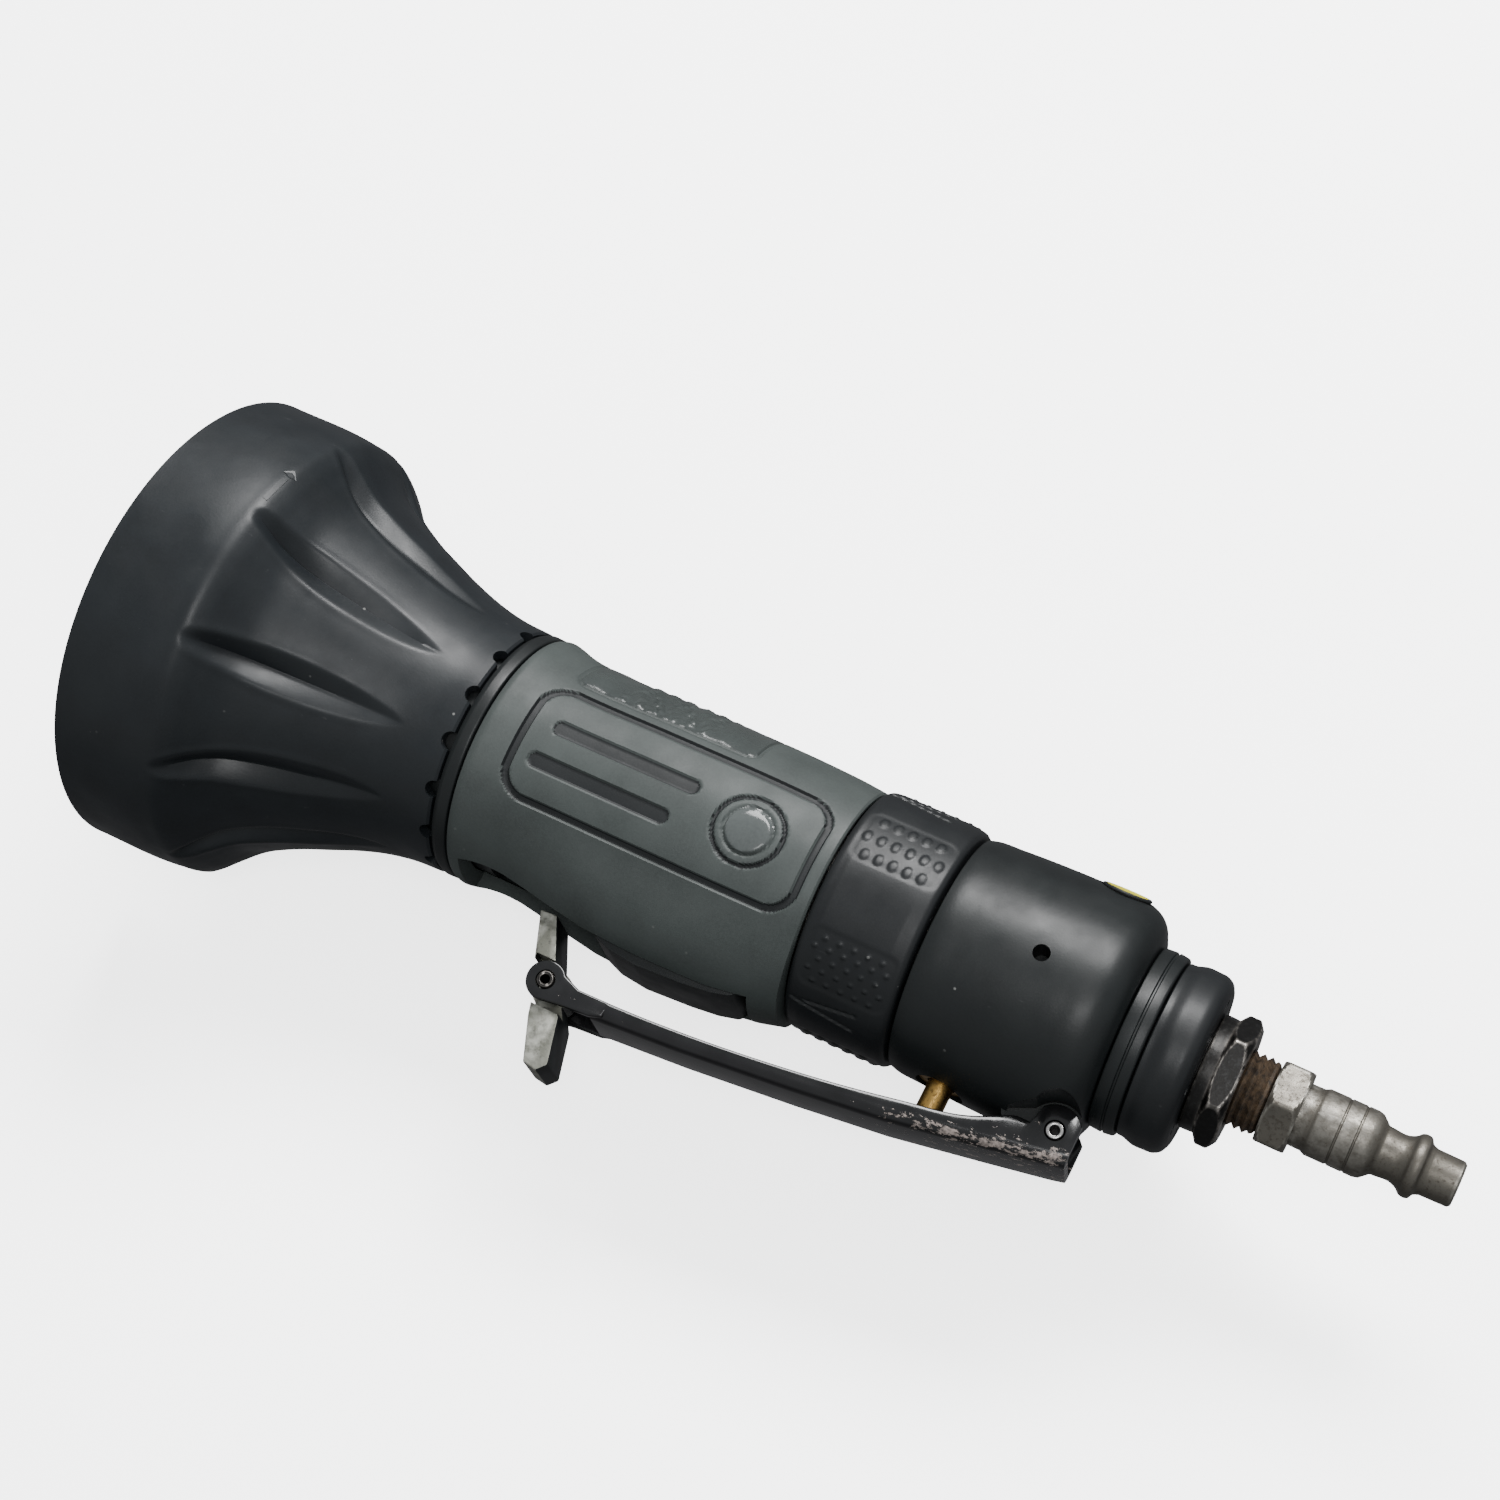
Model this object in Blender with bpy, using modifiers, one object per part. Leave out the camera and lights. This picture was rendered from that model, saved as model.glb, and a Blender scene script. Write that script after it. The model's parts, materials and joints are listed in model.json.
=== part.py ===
"""In-line reversible cut-off tool driven by compressed air.

Sizes are in millimetres and are turned into metres where a mesh is made.
Frame: origin on the tool's axis at the front face of the spindle, +X along the axis towards
the air inlet, the throttle lever on the -Y side, +Z up towards the nameplate side.
"""
import math

import bmesh
import bpy
from mathutils import Matrix, Vector

MM = 0.001
GAP = 0.3                     # running and touching clearance between neighbours

# Guard and front end
GUARD_FRONT = -5.9
GUARD_REAR = 59.8
GUARD_RIM_R = 44.3
GUARD_NECK_R = 23.9
GUARD_SEAT_R = 21.9           # bore that turns on the motor housing
NOTCH_COUNT = 16
NOTCH_R = 1.7
NOTCH_TURN_DEG = 3.5          # angle of the first notch from +Z towards +Y
VENT_TURN_DEG = 10.0          # first exhaust vent, likewise
VENT_X = 168.8
LABEL_X = 175.3
LABEL_TURN_DEG = 68.0
DETENT_TURN_DEG = -38.0
DETENT_X = 56.8
GUARD_OPEN_Z = -16.0          # the wheel works past the guard below this height
GUARD_OPEN_X = 34.0
SPINDLE_R = 5.0
SPINDLE_NOSE_R = 6.0
THREAD_R = 3.0
FLANGE_R = 9.5

# Body
HOUSING_R = 20.5
HOUSING_BORE_R = 17.5
HOUSING_FRONT = 49.5
HOUSING_REAR = 129.7
SLEEVE_FRONT = 63.5
SLEEVE_REAR = 130.0
SLEEVE_SLOT_FRONT = 66.0
SLEEVE_SLOT_REAR = 124.0
SLEEVE_SLOT_HALF = 7.5
RAIL_HALF = 7.2
POCKET_FLOOR_Y = -18.6        # room for the swinging tip of the lock-off
RING_FRONT = 130.5
RING_REAR = 149.4
RING_BORE_R = 17.9
BACK_FRONT = 150.0
BACK_REAR = 184.5
BACK_R = 22.5

# Motor
MOTOR_R = 17.2
LINER_FRONT = 63.1
LINER_REAR = 116.1
LINER_BORE_R = 14.6
LINER_OFFSET = 1.0
ROTOR_R = 12.6
VANE_COUNT = 5
VANE_TIP_R = 13.3
VANE_ROOT_R = 7.6
VANE_THICK = 1.6

# Throttle
VALVE_X = 160.0
STEM_R = 2.3
LEVER_PIVOT = (181.4, -21.7)
LOCK_PIVOT = (91.3, -35.5)
LEVER_HALF = 7.2
SHEET = 1.5
PIN_R = 1.5
LUG_HALF = 5.3

# Air inlet
INLET_SHANK_R = 9.0
HEX_AF = 20.6
PLUG_THREAD_R = 6.9
PLUG_HEX_AF = 14.3
PLUG_BORE_R = 2.6
PLUG_END = 243.3

BIG_STEPS = 32
MID_STEPS = 24
SMALL_STEPS = 16

AXIS_TURN = {
    "X": (0.0, math.pi / 2, 0.0),
    "Y": (-math.pi / 2, 0.0, 0.0),
    "Z": (0.0, 0.0, 0.0),
}

FINISHES = {
    "guard_plastic": ((0.028, 0.033, 0.037), 0.55, 0.0),
    "black_plastic": ((0.022, 0.025, 0.028), 0.45, 0.0),
    "soft_grip": ((0.110, 0.125, 0.130), 0.80, 0.0),
    "black_rubber": ((0.015, 0.016, 0.018), 0.75, 0.0),
    "lever_enamel": ((0.012, 0.013, 0.014), 0.20, 0.0),
    "olive_cast": ((0.330, 0.340, 0.310), 0.55, 0.7),
    "steel": ((0.500, 0.500, 0.490), 0.30, 1.0),
    "gun_metal": ((0.110, 0.110, 0.110), 0.40, 1.0),
    "cast_iron": ((0.200, 0.200, 0.200), 0.55, 1.0),
    "brass": ((0.720, 0.520, 0.220), 0.35, 1.0),
    "zinc": ((0.560, 0.560, 0.540), 0.40, 1.0),
    "vane_composite": ((0.200, 0.110, 0.060), 0.65, 0.0),
    "yellow_label": ((0.850, 0.680, 0.060), 0.45, 0.0),
    "felt": ((0.420, 0.400, 0.360), 0.95, 0.0),
}


def start_empty_scene():
    for obj in list(bpy.data.objects):
        bpy.data.objects.remove(obj, do_unlink=True)
    parts = bpy.data.collections.new("cut_off_tool")
    cutters = bpy.data.collections.new("cutters")
    bpy.context.scene.collection.children.link(parts)
    bpy.context.scene.collection.children.link(cutters)
    return parts, cutters


PARTS, CUTTERS = start_empty_scene()


def finish_material(name, finish):
    colour, roughness, metallic = FINISHES[finish]
    material = bpy.data.materials.new(name + "_finish")
    material.use_nodes = True
    shader = material.node_tree.nodes["Principled BSDF"]
    shader.inputs["Base Color"].default_value = (*colour, 1.0)
    shader.inputs["Roughness"].default_value = roughness
    shader.inputs["Metallic"].default_value = metallic
    return material


def place(name, mesh, finish, at=(0.0, 0.0, 0.0), turn=(0.0, 0.0, 0.0)):
    """New object of a mesh; finish None makes a cutter."""
    obj = bpy.data.objects.new(name, mesh)
    obj.location = Vector(at) * MM
    obj.rotation_euler = turn
    if finish is None:
        CUTTERS.objects.link(obj)
        obj.hide_render = True
        obj.display_type = "WIRE"
        return obj
    PARTS.objects.link(obj)
    mesh.materials.append(finish_material(name, finish))
    return obj


def turned(name, profile, finish, steps=BIG_STEPS, axis="X", at=(0.0, 0.0, 0.0)):
    """Solid of revolution. The profile holds (along, radius) points and goes round the section:
    down the outer side from the high end, then back along the bore. Ends on the axis stay open."""
    mesh = bpy.data.meshes.new(name)
    points = [(radius * MM, 0.0, along * MM) for along, radius in profile]
    count = len(points)
    solid = profile[0][1] == 0.0
    edges = [(i, i + 1) for i in range(count - 1)]
    if not solid:
        edges.append((count - 1, 0))
    mesh.from_pydata(points, edges, [])
    obj = place(name, mesh, finish, at, AXIS_TURN[axis])
    screw = obj.modifiers.new("turn", "SCREW")
    screw.axis = "Z"
    screw.angle = math.tau
    screw.steps = steps
    screw.render_steps = steps
    screw.use_merge_vertices = True
    screw.merge_threshold = 0.00001
    screw.use_smooth_shade = steps > 6
    return obj


def ring(name, front, rear, inner, outer, finish, **options):
    profile = [(rear, outer), (front, outer), (front, inner), (rear, inner)]
    return turned(name, profile, finish, **options)


def rod(name, low, high, radius, finish, **options):
    profile = [(high, 0.0), (high, radius), (low, radius), (low, 0.0)]
    return turned(name, profile, finish, **options)


def hexagon(name, front, rear, across_flats, finish):
    return rod(name, front, rear, across_flats / math.sqrt(3.0), finish, steps=6)


def box(name, low, high, finish=None):
    mesh = bpy.data.meshes.new(name)
    shape = bmesh.new()
    bmesh.ops.create_cube(shape, size=1.0)
    size = Vector(high) - Vector(low)
    centre = (Vector(high) + Vector(low)) / 2
    bmesh.ops.scale(shape, vec=size * MM, verts=shape.verts)
    shape.to_mesh(mesh)
    shape.free()
    return place(name, mesh, finish, centre)


def curve_to_mesh(curve_obj, name, finish):
    """Closed mesh of a curve object, which is removed."""
    bpy.context.scene.collection.objects.link(curve_obj)
    bpy.context.view_layer.update()
    graph = bpy.context.evaluated_depsgraph_get()
    mesh = bpy.data.meshes.new_from_object(curve_obj.evaluated_get(graph))
    mesh.name = name
    shape = bmesh.new()
    shape.from_mesh(mesh)
    bmesh.ops.remove_doubles(shape, verts=shape.verts, dist=0.000001)
    shape.to_mesh(mesh)
    shape.free()
    mesh.materials.clear()
    obj = place(name, mesh, finish)
    obj.matrix_world = curve_obj.matrix_world
    bpy.data.objects.remove(curve_obj, do_unlink=True)
    return obj


def extruded(name, outline, half_width, finish, origin=(0.0, 0.0), middle=0.0):
    """Flat outline in X and Y, given half_width to each side of z = middle."""
    curve = bpy.data.curves.new(name, "CURVE")
    curve.dimensions = "2D"
    curve.fill_mode = "BOTH"
    curve.extrude = half_width * MM
    spline = curve.splines.new("POLY")
    spline.points.add(len(outline) - 1)
    for point, (x, y) in zip(spline.points, outline):
        point.co = ((x - origin[0]) * MM, (y - origin[1]) * MM, 0.0, 1.0)
    spline.use_cyclic_u = True
    curve_obj = bpy.data.objects.new(name + "_outline", curve)
    curve_obj.location = Vector((origin[0], origin[1], middle)) * MM
    return curve_to_mesh(curve_obj, name, finish)


def wire(name, points, radius, finish, origin=(0.0, 0.0, 0.0)):
    curve = bpy.data.curves.new(name, "CURVE")
    curve.dimensions = "3D"
    curve.bevel_depth = radius * MM
    curve.bevel_resolution = 2
    curve.use_fill_caps = True
    spline = curve.splines.new("POLY")
    spline.points.add(len(points) - 1)
    for point, place_mm in zip(spline.points, points):
        point.co = (*((Vector(place_mm) - Vector(origin)) * MM), 1.0)
    curve_obj = bpy.data.objects.new(name + "_path", curve)
    curve_obj.location = Vector(origin) * MM
    return curve_to_mesh(curve_obj, name, finish)


def combine(obj, other, operation):
    modifier = obj.modifiers.new(operation.lower() + "_" + other.name, "BOOLEAN")
    modifier.operation = operation
    modifier.solver = "EXACT"
    modifier.object = other
    return obj


def cut(obj, *others):
    for other in others:
        combine(obj, other, "DIFFERENCE")
    return obj


def join(obj, *others):
    for other in others:
        combine(obj, other, "UNION")
    return obj


def arc(centre, radius, start_deg, end_deg, count):
    """Points on a round stretch of an outline, ends included."""
    points = []
    for i in range(count + 1):
        angle = math.radians(start_deg + (end_deg - start_deg) * i / count)
        points.append((centre[0] + radius * math.cos(angle), centre[1] + radius * math.sin(angle)))
    return points


def around_axis(obj, degrees):
    """Turn a piece about the tool's axis, from +Z towards +Y."""
    obj.rotation_mode = "XYZ"
    turn = math.radians(-degrees)
    obj.matrix_world = rotation_about_x(turn) @ obj.matrix_basis
    return obj


def rotation_about_x(angle):
    return Matrix.Rotation(angle, 4, "X")


# ---------------------------------------------------------------- front end

def make_guard():
    """Bell-shaped wheel guard that turns on the motor housing."""
    outside = [(GUARD_REAR, GUARD_NECK_R), (54.0, 24.2), (48.1, 25.3), (41.4, 27.4), (35.6, 29.7),
               (30.8, 31.6), (26.5, 33.6), (22.3, 35.9), (17.0, 41.2), (15.2, 43.0), (12.5, 43.6),
               (GUARD_FRONT, GUARD_RIM_R)]
    inside = [(GUARD_FRONT, 42.3), (11.5, 41.6), (14.6, 40.2), (20.6, 34.4), (29.6, 29.9),
              (40.5, 25.6), (47.6, 23.4), (52.4, 23.2), (52.4, GUARD_SEAT_R), (GUARD_REAR, GUARD_SEAT_R)]
    guard = turned("guard", outside + inside, "guard_plastic", steps=40)
    for i in range(NOTCH_COUNT):
        notch = rod(f"notch_cut_{i + 1}", 20.0, 26.0, NOTCH_R, None, steps=8, axis="Z", at=(GUARD_REAR, 0.0, 0.0))
        around_axis(notch, NOTCH_TURN_DEG + i * 360.0 / NOTCH_COUNT)
        cut(guard, notch)
    cut(guard, box("guard_open_cut", (-10.0, -60.0, -60.0), (GUARD_OPEN_X, 60.0, GUARD_OPEN_Z)))
    ring("guard_snap_ring", 50.9, 52.1, 20.5, 22.6, "steel", steps=MID_STEPS)
    ring("neck_ring", 60.3, 63.2, HOUSING_R + GAP, GUARD_NECK_R, "black_plastic")


def make_nose():
    outside = [(57.5, MOTOR_R), (49.2, MOTOR_R), (49.2, 19.5), (42.0, 18.0), (34.0, 16.0), (30.0, 14.5), (18.0, 11.0)]
    inside = [(18.0, 7.0), (43.7, 7.0), (43.7, 13.3), (57.5, 13.3)]
    turned("nose_housing", outside + inside, "gun_metal", steps=MID_STEPS)
    bearing("front_bearing", 44.0)


def bearing(name, front):
    """Ball bearing as one ring, with its shields set back between the races."""
    rear = front + 8.0
    set_back = 0.8
    profile = [(rear, 13.0), (front, 13.0), (front, 11.2), (front + set_back, 11.2), (front + set_back, 7.2),
               (front, 7.2), (front, SPINDLE_R + GAP), (rear, SPINDLE_R + GAP), (rear, 7.2),
               (rear - set_back, 7.2), (rear - set_back, 11.2), (rear, 11.2)]
    turned(name, profile, "steel", steps=SMALL_STEPS)


def make_spindle():
    profile = [(128.7, 0.0), (128.7, SPINDLE_R), (43.7, SPINDLE_R), (43.7, SPINDLE_NOSE_R), (10.3, SPINDLE_NOSE_R),
               (10.3, THREAD_R), (0.0, THREAD_R), (0.0, 0.0)]
    turned("spindle", profile, "steel", steps=SMALL_STEPS)
    flange = [(10.0, 7.0), (8.2, FLANGE_R), (7.0, FLANGE_R), (7.0, THREAD_R + GAP), (10.0, THREAD_R + GAP)]
    turned("inner_flange", flange, "steel", steps=MID_STEPS)
    flange = [(6.7, FLANGE_R), (5.5, FLANGE_R), (4.0, 7.5), (4.0, THREAD_R + GAP), (6.7, THREAD_R + GAP)]
    turned("outer_flange", flange, "steel", steps=MID_STEPS)
    nut = hexagon("wheel_nut", 0.9, 3.7, 11.0, "gun_metal")
    cut(nut, rod("nut_bore_cut", 0.0, 5.0, THREAD_R + GAP, None, steps=SMALL_STEPS))


# ---------------------------------------------------------------- body

def make_motor_housing():
    """Housing tube with the guard seat in front and the hand rail under the lever."""
    profile = [(HOUSING_REAR, HOUSING_R), (60.2, HOUSING_R), (60.0, 21.5), (52.4, 21.5), (52.4, 20.2), (50.6, 20.2),
               (50.6, 21.5), (HOUSING_FRONT, 21.5), (HOUSING_FRONT, HOUSING_BORE_R), (HOUSING_REAR, HOUSING_BORE_R)]
    housing = turned("motor_housing", profile, "black_plastic")
    rail = [(92.8, -18.4), (93.2, -21.0), (94.8, -24.8), (98.5, -26.2), (104.0, -26.6), (113.0, -26.0),
            (118.0, -25.4), (122.0, -24.4), (123.5, -21.0), (123.5, -18.4)]
    join(housing, extruded("rail_form", rail, RAIL_HALF, None))
    cut(housing, box("lock_pocket_cut", (70.0, -30.0, -6.5), (92.5, POCKET_FLOOR_Y, 6.5)))
    pocket = rod("ball_pocket_cut", 18.6, 23.0, 1.8, None, steps=12, axis="Z", at=(DETENT_X, 0.0, 0.0))
    cut(housing, around_axis(pocket, DETENT_TURN_DEG))
    ball = arc((0.0, 0.0), 1.4, 90.0, -90.0, 8)
    ball = [(along, max(0.0, radius)) for radius, along in ball]
    ball[0] = (1.4, 0.0)
    ball[-1] = (-1.4, 0.0)
    ball_obj = turned("detent_ball", ball, "brass", steps=12, axis="Z", at=(DETENT_X, 0.0, 20.15))
    around_axis(ball_obj, DETENT_TURN_DEG)


def make_grip_sleeve():
    """Soft grip over the housing, open under the lever where the rail comes through."""
    inner = HOUSING_R + GAP
    profile = [(SLEEVE_REAR, 21.5), (126.0, 21.9), (118.0, 22.3), (96.0, 22.5), (76.0, 22.4), (70.0, 22.7), (66.5, 23.6),
               (64.8, 24.0), (SLEEVE_FRONT, 23.7), (SLEEVE_FRONT, inner), (SLEEVE_REAR, inner)]
    sleeve = turned("grip_sleeve", profile, "soft_grip")
    slot_low = (SLEEVE_SLOT_FRONT, -30.0, -SLEEVE_SLOT_HALF)
    slot_high = (SLEEVE_SLOT_REAR, -15.0, SLEEVE_SLOT_HALF)
    cut(sleeve, box("sleeve_slot_cut", slot_low, slot_high))


def make_reversing():
    """Knurled ring and the ported valve that it turns about the fixed backhead."""
    profile = [(RING_REAR, 21.8), (147.5, 22.4), (140.0, 22.9), (132.5, 22.5), (RING_FRONT, 22.0),
               (RING_FRONT, RING_BORE_R), (RING_REAR, RING_BORE_R)]
    turned("reverse_ring", profile, "black_plastic")
    valve = ring("reverse_valve", 130.8, 149.1, 14.3, 17.6, "brass", steps=MID_STEPS)
    for i in range(2):
        port = rod(f"valve_port_cut_{i + 1}", 12.0, 20.0, 2.5, None, steps=12, axis="Z", at=(140.0, 0.0, 0.0))
        cut(valve, around_axis(port, 90.0 + 180.0 * i))
    profile = [(149.7, 14.0), (130.2, 14.0), (130.2, MOTOR_R), (129.3, MOTOR_R), (129.3, 3.0), (149.7, 3.0)]
    turned("backhead", profile, "gun_metal", steps=MID_STEPS)


def make_rear_housing():
    """Rear housing with the inlet bore, the throttle chamber and the lever's lug."""
    profile = [(VALVE_X - 1.5, 0.0), (VALVE_X - 1.5, 5.0), (169.7, 5.0), (169.7, INLET_SHANK_R + GAP),
               (BACK_REAR, INLET_SHANK_R + GAP), (BACK_REAR, 17.6), (183.6, 19.6), (181.8, 21.3), (179.0, 22.3),
               (175.0, BACK_R), (162.0, 22.3), (BACK_FRONT, 21.45), (BACK_FRONT, 0.0)]
    housing = turned("rear_housing", profile, "black_plastic")
    lug = [(171.5, -14.0), (171.5, -23.0), (175.5, -24.5), (183.3, -24.6), (184.3, -23.6), (184.3, -14.0)]
    join(housing, extruded("lug_form", lug, LUG_HALF + GAP, None))
    for side, low, high in (("near", LUG_HALF, 30.0), ("far", -30.0, -LUG_HALF)):
        cut(housing, box(f"ear_cut_{side}", (172.5, -30.0, low), (190.0, -14.5, high)))
    pin_hole = rod("lever_pin_cut", -20.0, 20.0, PIN_R + GAP, None, steps=16, axis="Z", at=(*LEVER_PIVOT, 0.0))
    chamber = [(11.0, 0.0), (11.0, 5.6), (-6.0, 5.6), (-6.0, 3.0), (-11.7, 3.0), (-11.7, 4.5), (-30.0, 4.5), (-30.0, 0.0)]
    chamber = turned("chamber_cut", chamber, None, steps=SMALL_STEPS, axis="Y", at=(VALVE_X, 0.0, 0.0))
    passage = rod("passage_cut", 149.0, VALVE_X, 2.2, None, steps=12, at=(0.0, -8.9, 0.0))
    pocket = rod("label_cut", 21.9, 25.0, 4.8, None, steps=SMALL_STEPS, axis="Z", at=(LABEL_X, 0.0, 0.0))
    vent = rod("vent_cut", 17.0, 26.0, 1.5, None, steps=16, axis="Z", at=(VENT_X, 0.0, 0.0))
    around_axis(pocket, LABEL_TURN_DEG)
    around_axis(vent, 2.0)
    cut(housing, pin_hole, chamber, passage, pocket, vent)
    disc = rod("label_disc", 22.2, 22.8, 4.5, "yellow_label", steps=SMALL_STEPS, axis="Z", at=(LABEL_X, 0.0, 0.0))
    around_axis(disc, LABEL_TURN_DEG)


# ---------------------------------------------------------------- air motor

def make_motor():
    plate = [(62.8, MOTOR_R), (57.8, MOTOR_R), (57.8, SPINDLE_R + GAP), (62.8, SPINDLE_R + GAP)]
    turned("front_end_plate", plate, "steel", steps=MID_STEPS)
    liner = rod("cylinder", LINER_FRONT, LINER_REAR, MOTOR_R, "cast_iron", steps=MID_STEPS)
    bore = rod("liner_bore_cut", LINER_FRONT - 1.0, LINER_REAR + 1.0, LINER_BORE_R, None, steps=MID_STEPS,
               at=(0.0, LINER_OFFSET, 0.0))
    cut(liner, bore)
    plate = [(129.0, MOTOR_R), (116.4, MOTOR_R), (116.4, SPINDLE_R + GAP), (120.4, SPINDLE_R + GAP),
             (120.4, 13.0 + GAP), (129.0, 13.0 + GAP)]
    turned("rear_end_plate", plate, "steel", steps=MID_STEPS)
    bearing("rear_bearing", 120.7)
    make_rotor()


def make_rotor():
    front = LINER_FRONT + GAP
    rear = LINER_REAR - GAP
    rotor = ring("rotor", front, rear, SPINDLE_R + GAP, ROTOR_R, "steel", steps=30)
    half = VANE_THICK / 2
    for i in range(VANE_COUNT):
        turn = 36.0 + i * 360.0 / VANE_COUNT
        slot = box(f"vane_slot_cut_{i + 1}", (front - 1.0, -half - GAP, VANE_ROOT_R - GAP), (rear + 1.0, half + GAP, 15.0))
        cut(rotor, around_axis(slot, turn))
        low = (front, -half, VANE_ROOT_R)
        high = (rear, half, VANE_TIP_R)
        around_axis(box(f"vane_{i + 1}", low, high, "vane_composite"), turn)


# ---------------------------------------------------------------- throttle

def make_throttle_valve():
    ring("valve_bush", -21.3, -12.0, STEM_R + GAP, 4.2, "brass", steps=SMALL_STEPS, axis="Y", at=(VALVE_X, 0.0, 0.0))
    stem = [(-7.6, 0.0), (-7.6, 1.7), (-12.6, 1.7), (-13.6, STEM_R), (-28.2, STEM_R), (-29.2, 1.7), (-29.5, 0.0)]
    turned("valve_stem", stem, "brass", steps=SMALL_STEPS, axis="Y", at=(VALVE_X, 0.0, 0.0))
    head = [(-3.0, 0.0), (-3.0, 4.0), (-5.7, 4.0), (-5.7, 1.7), (-7.3, 1.7), (-7.3, 0.0)]
    turned("throttle_valve", head, "brass", steps=SMALL_STEPS, axis="Y", at=(VALVE_X, 0.0, 0.0))
    coil_r = 3.0
    turns = 4.0
    per_turn = 8
    count = int(turns * per_turn)
    points = []
    for i in range(count + 1):
        angle = math.tau * i / per_turn
        height = -2.2 + 12.2 * i / count
        points.append((VALVE_X + coil_r * math.cos(angle), height, coil_r * math.sin(angle)))
    wire("valve_spring", points, 0.45, "steel")


def make_lever():
    """Pressed channel lever, open upwards, forked in front around the lock-off."""
    px, py = LEVER_PIVOT
    lx, ly = LOCK_PIVOT
    web = [(101.0, -38.0), (118.0, -36.6), (138.0, -34.4), (155.0, -32.2), (172.0, -29.1), (183.0, -27.0), (186.2, -26.2)]
    rear_ear = [(186.6, -24.5)] + arc(LEVER_PIVOT, 4.6, 0.0, 140.0, 6)
    top = [(174.5, -22.0), (167.0, -25.6), (156.0, -28.0), (146.0, -29.9), (134.0, -31.7), (120.0, -33.3),
           (108.0, -34.2), (97.5, -34.6)]
    front_ear = arc(LOCK_PIVOT, 3.6, 35.0, 270.0, 8)
    lever = extruded("throttle_lever", web + rear_ear + top + front_ear, LEVER_HALF, "lever_enamel", origin=LEVER_PIVOT)
    hollow = [(x, y + SHEET) for x, y in web[:-1]]
    hollow = [(80.0, -45.0), (101.5, -45.0)] + hollow + [(190.0, -24.6), (190.0, -10.0), (80.0, -10.0)]
    cut(lever, extruded("channel_cut", hollow, LEVER_HALF - SHEET, None))
    for name, at in (("pivot", LEVER_PIVOT), ("lock", LOCK_PIVOT)):
        cut(lever, rod(f"lever_{name}_cut", -20.0, 20.0, PIN_R + GAP, None, steps=16, axis="Z", at=(*at, 0.0)))
    rod("lever_pin", -LEVER_HALF - 0.4, LEVER_HALF + 0.4, PIN_R, "steel", steps=16, axis="Z", at=(px, py, 0.0))
    rod("lock_pin", -LEVER_HALF - 0.4, LEVER_HALF + 0.4, PIN_R, "steel", steps=16, axis="Z", at=(lx, ly, 0.0))


def make_lock_off():
    """Lock-off bar on the front of the lever, with its return spring."""
    outline = [(83.4, -24.2), (86.8, -23.9), (91.2, -32.4)]
    outline += arc(LOCK_PIVOT, 3.7, 75.0, -35.0, 5)
    outline += [(96.2, -40.2), (98.6, -48.4), (97.0, -50.2), (94.3, -49.8), (90.9, -41.8), (90.0, -39.2)]
    outline += arc(LOCK_PIVOT, 3.7, 240.0, 165.0, 3)
    lock = extruded("lock_off", outline, LUG_HALF, "olive_cast", origin=LOCK_PIVOT)
    x, y = LOCK_PIVOT
    spring_room = box("spring_room_cut", (x - 4.4, y - 4.3, 1.0), (x + 4.4, y + 4.1, 10.0))
    pin_hole = rod("lock_pin_cut", -20.0, 20.0, PIN_R + GAP, None, steps=16, axis="Z", at=(*LOCK_PIVOT, 0.0))
    cut(lock, spring_room, pin_hole)
    coil_r = 2.4
    per_turn = 8
    turns = 3.0
    count = int(turns * per_turn)
    points = []
    for i in range(count + 1):
        angle = math.tau * i / per_turn
        points.append((x + coil_r * math.cos(angle), y + coil_r * math.sin(angle), 1.7 + 3.2 * i / count))
    wire("lock_spring", points, 0.35, "steel", origin=(*LOCK_PIVOT, 0.0))


# ---------------------------------------------------------------- exhaust and inlet

def make_exhaust():
    bore = INLET_SHANK_R + GAP
    profile = [(189.4, 16.1), (188.9, 16.6), (184.8, 16.6), (184.8, bore), (189.4, bore)]
    turned("exhaust_collar", profile, "black_plastic")
    outside = [(198.2, 14.2), (197.6, 15.4), (196.4, 16.1), (194.6, 16.3), (192.2, 16.3), (191.2, 15.75), (189.7, 15.75)]
    inside = [(189.7, 14.3), (195.7, 14.3), (195.7, bore), (198.2, bore)]
    deflector = turned("exhaust_deflector", outside + inside, "black_rubber")
    for i in range(8):
        vent = rod(f"exhaust_cut_{i + 1}", 190.0, 200.0, 1.1, None, steps=8, at=(0.0, 0.0, 12.2))
        cut(deflector, around_axis(vent, VENT_TURN_DEG + i * 45.0))
    ring("muffler_ring", 190.0, 195.3, 9.7, 13.9, "felt", steps=MID_STEPS)


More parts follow.
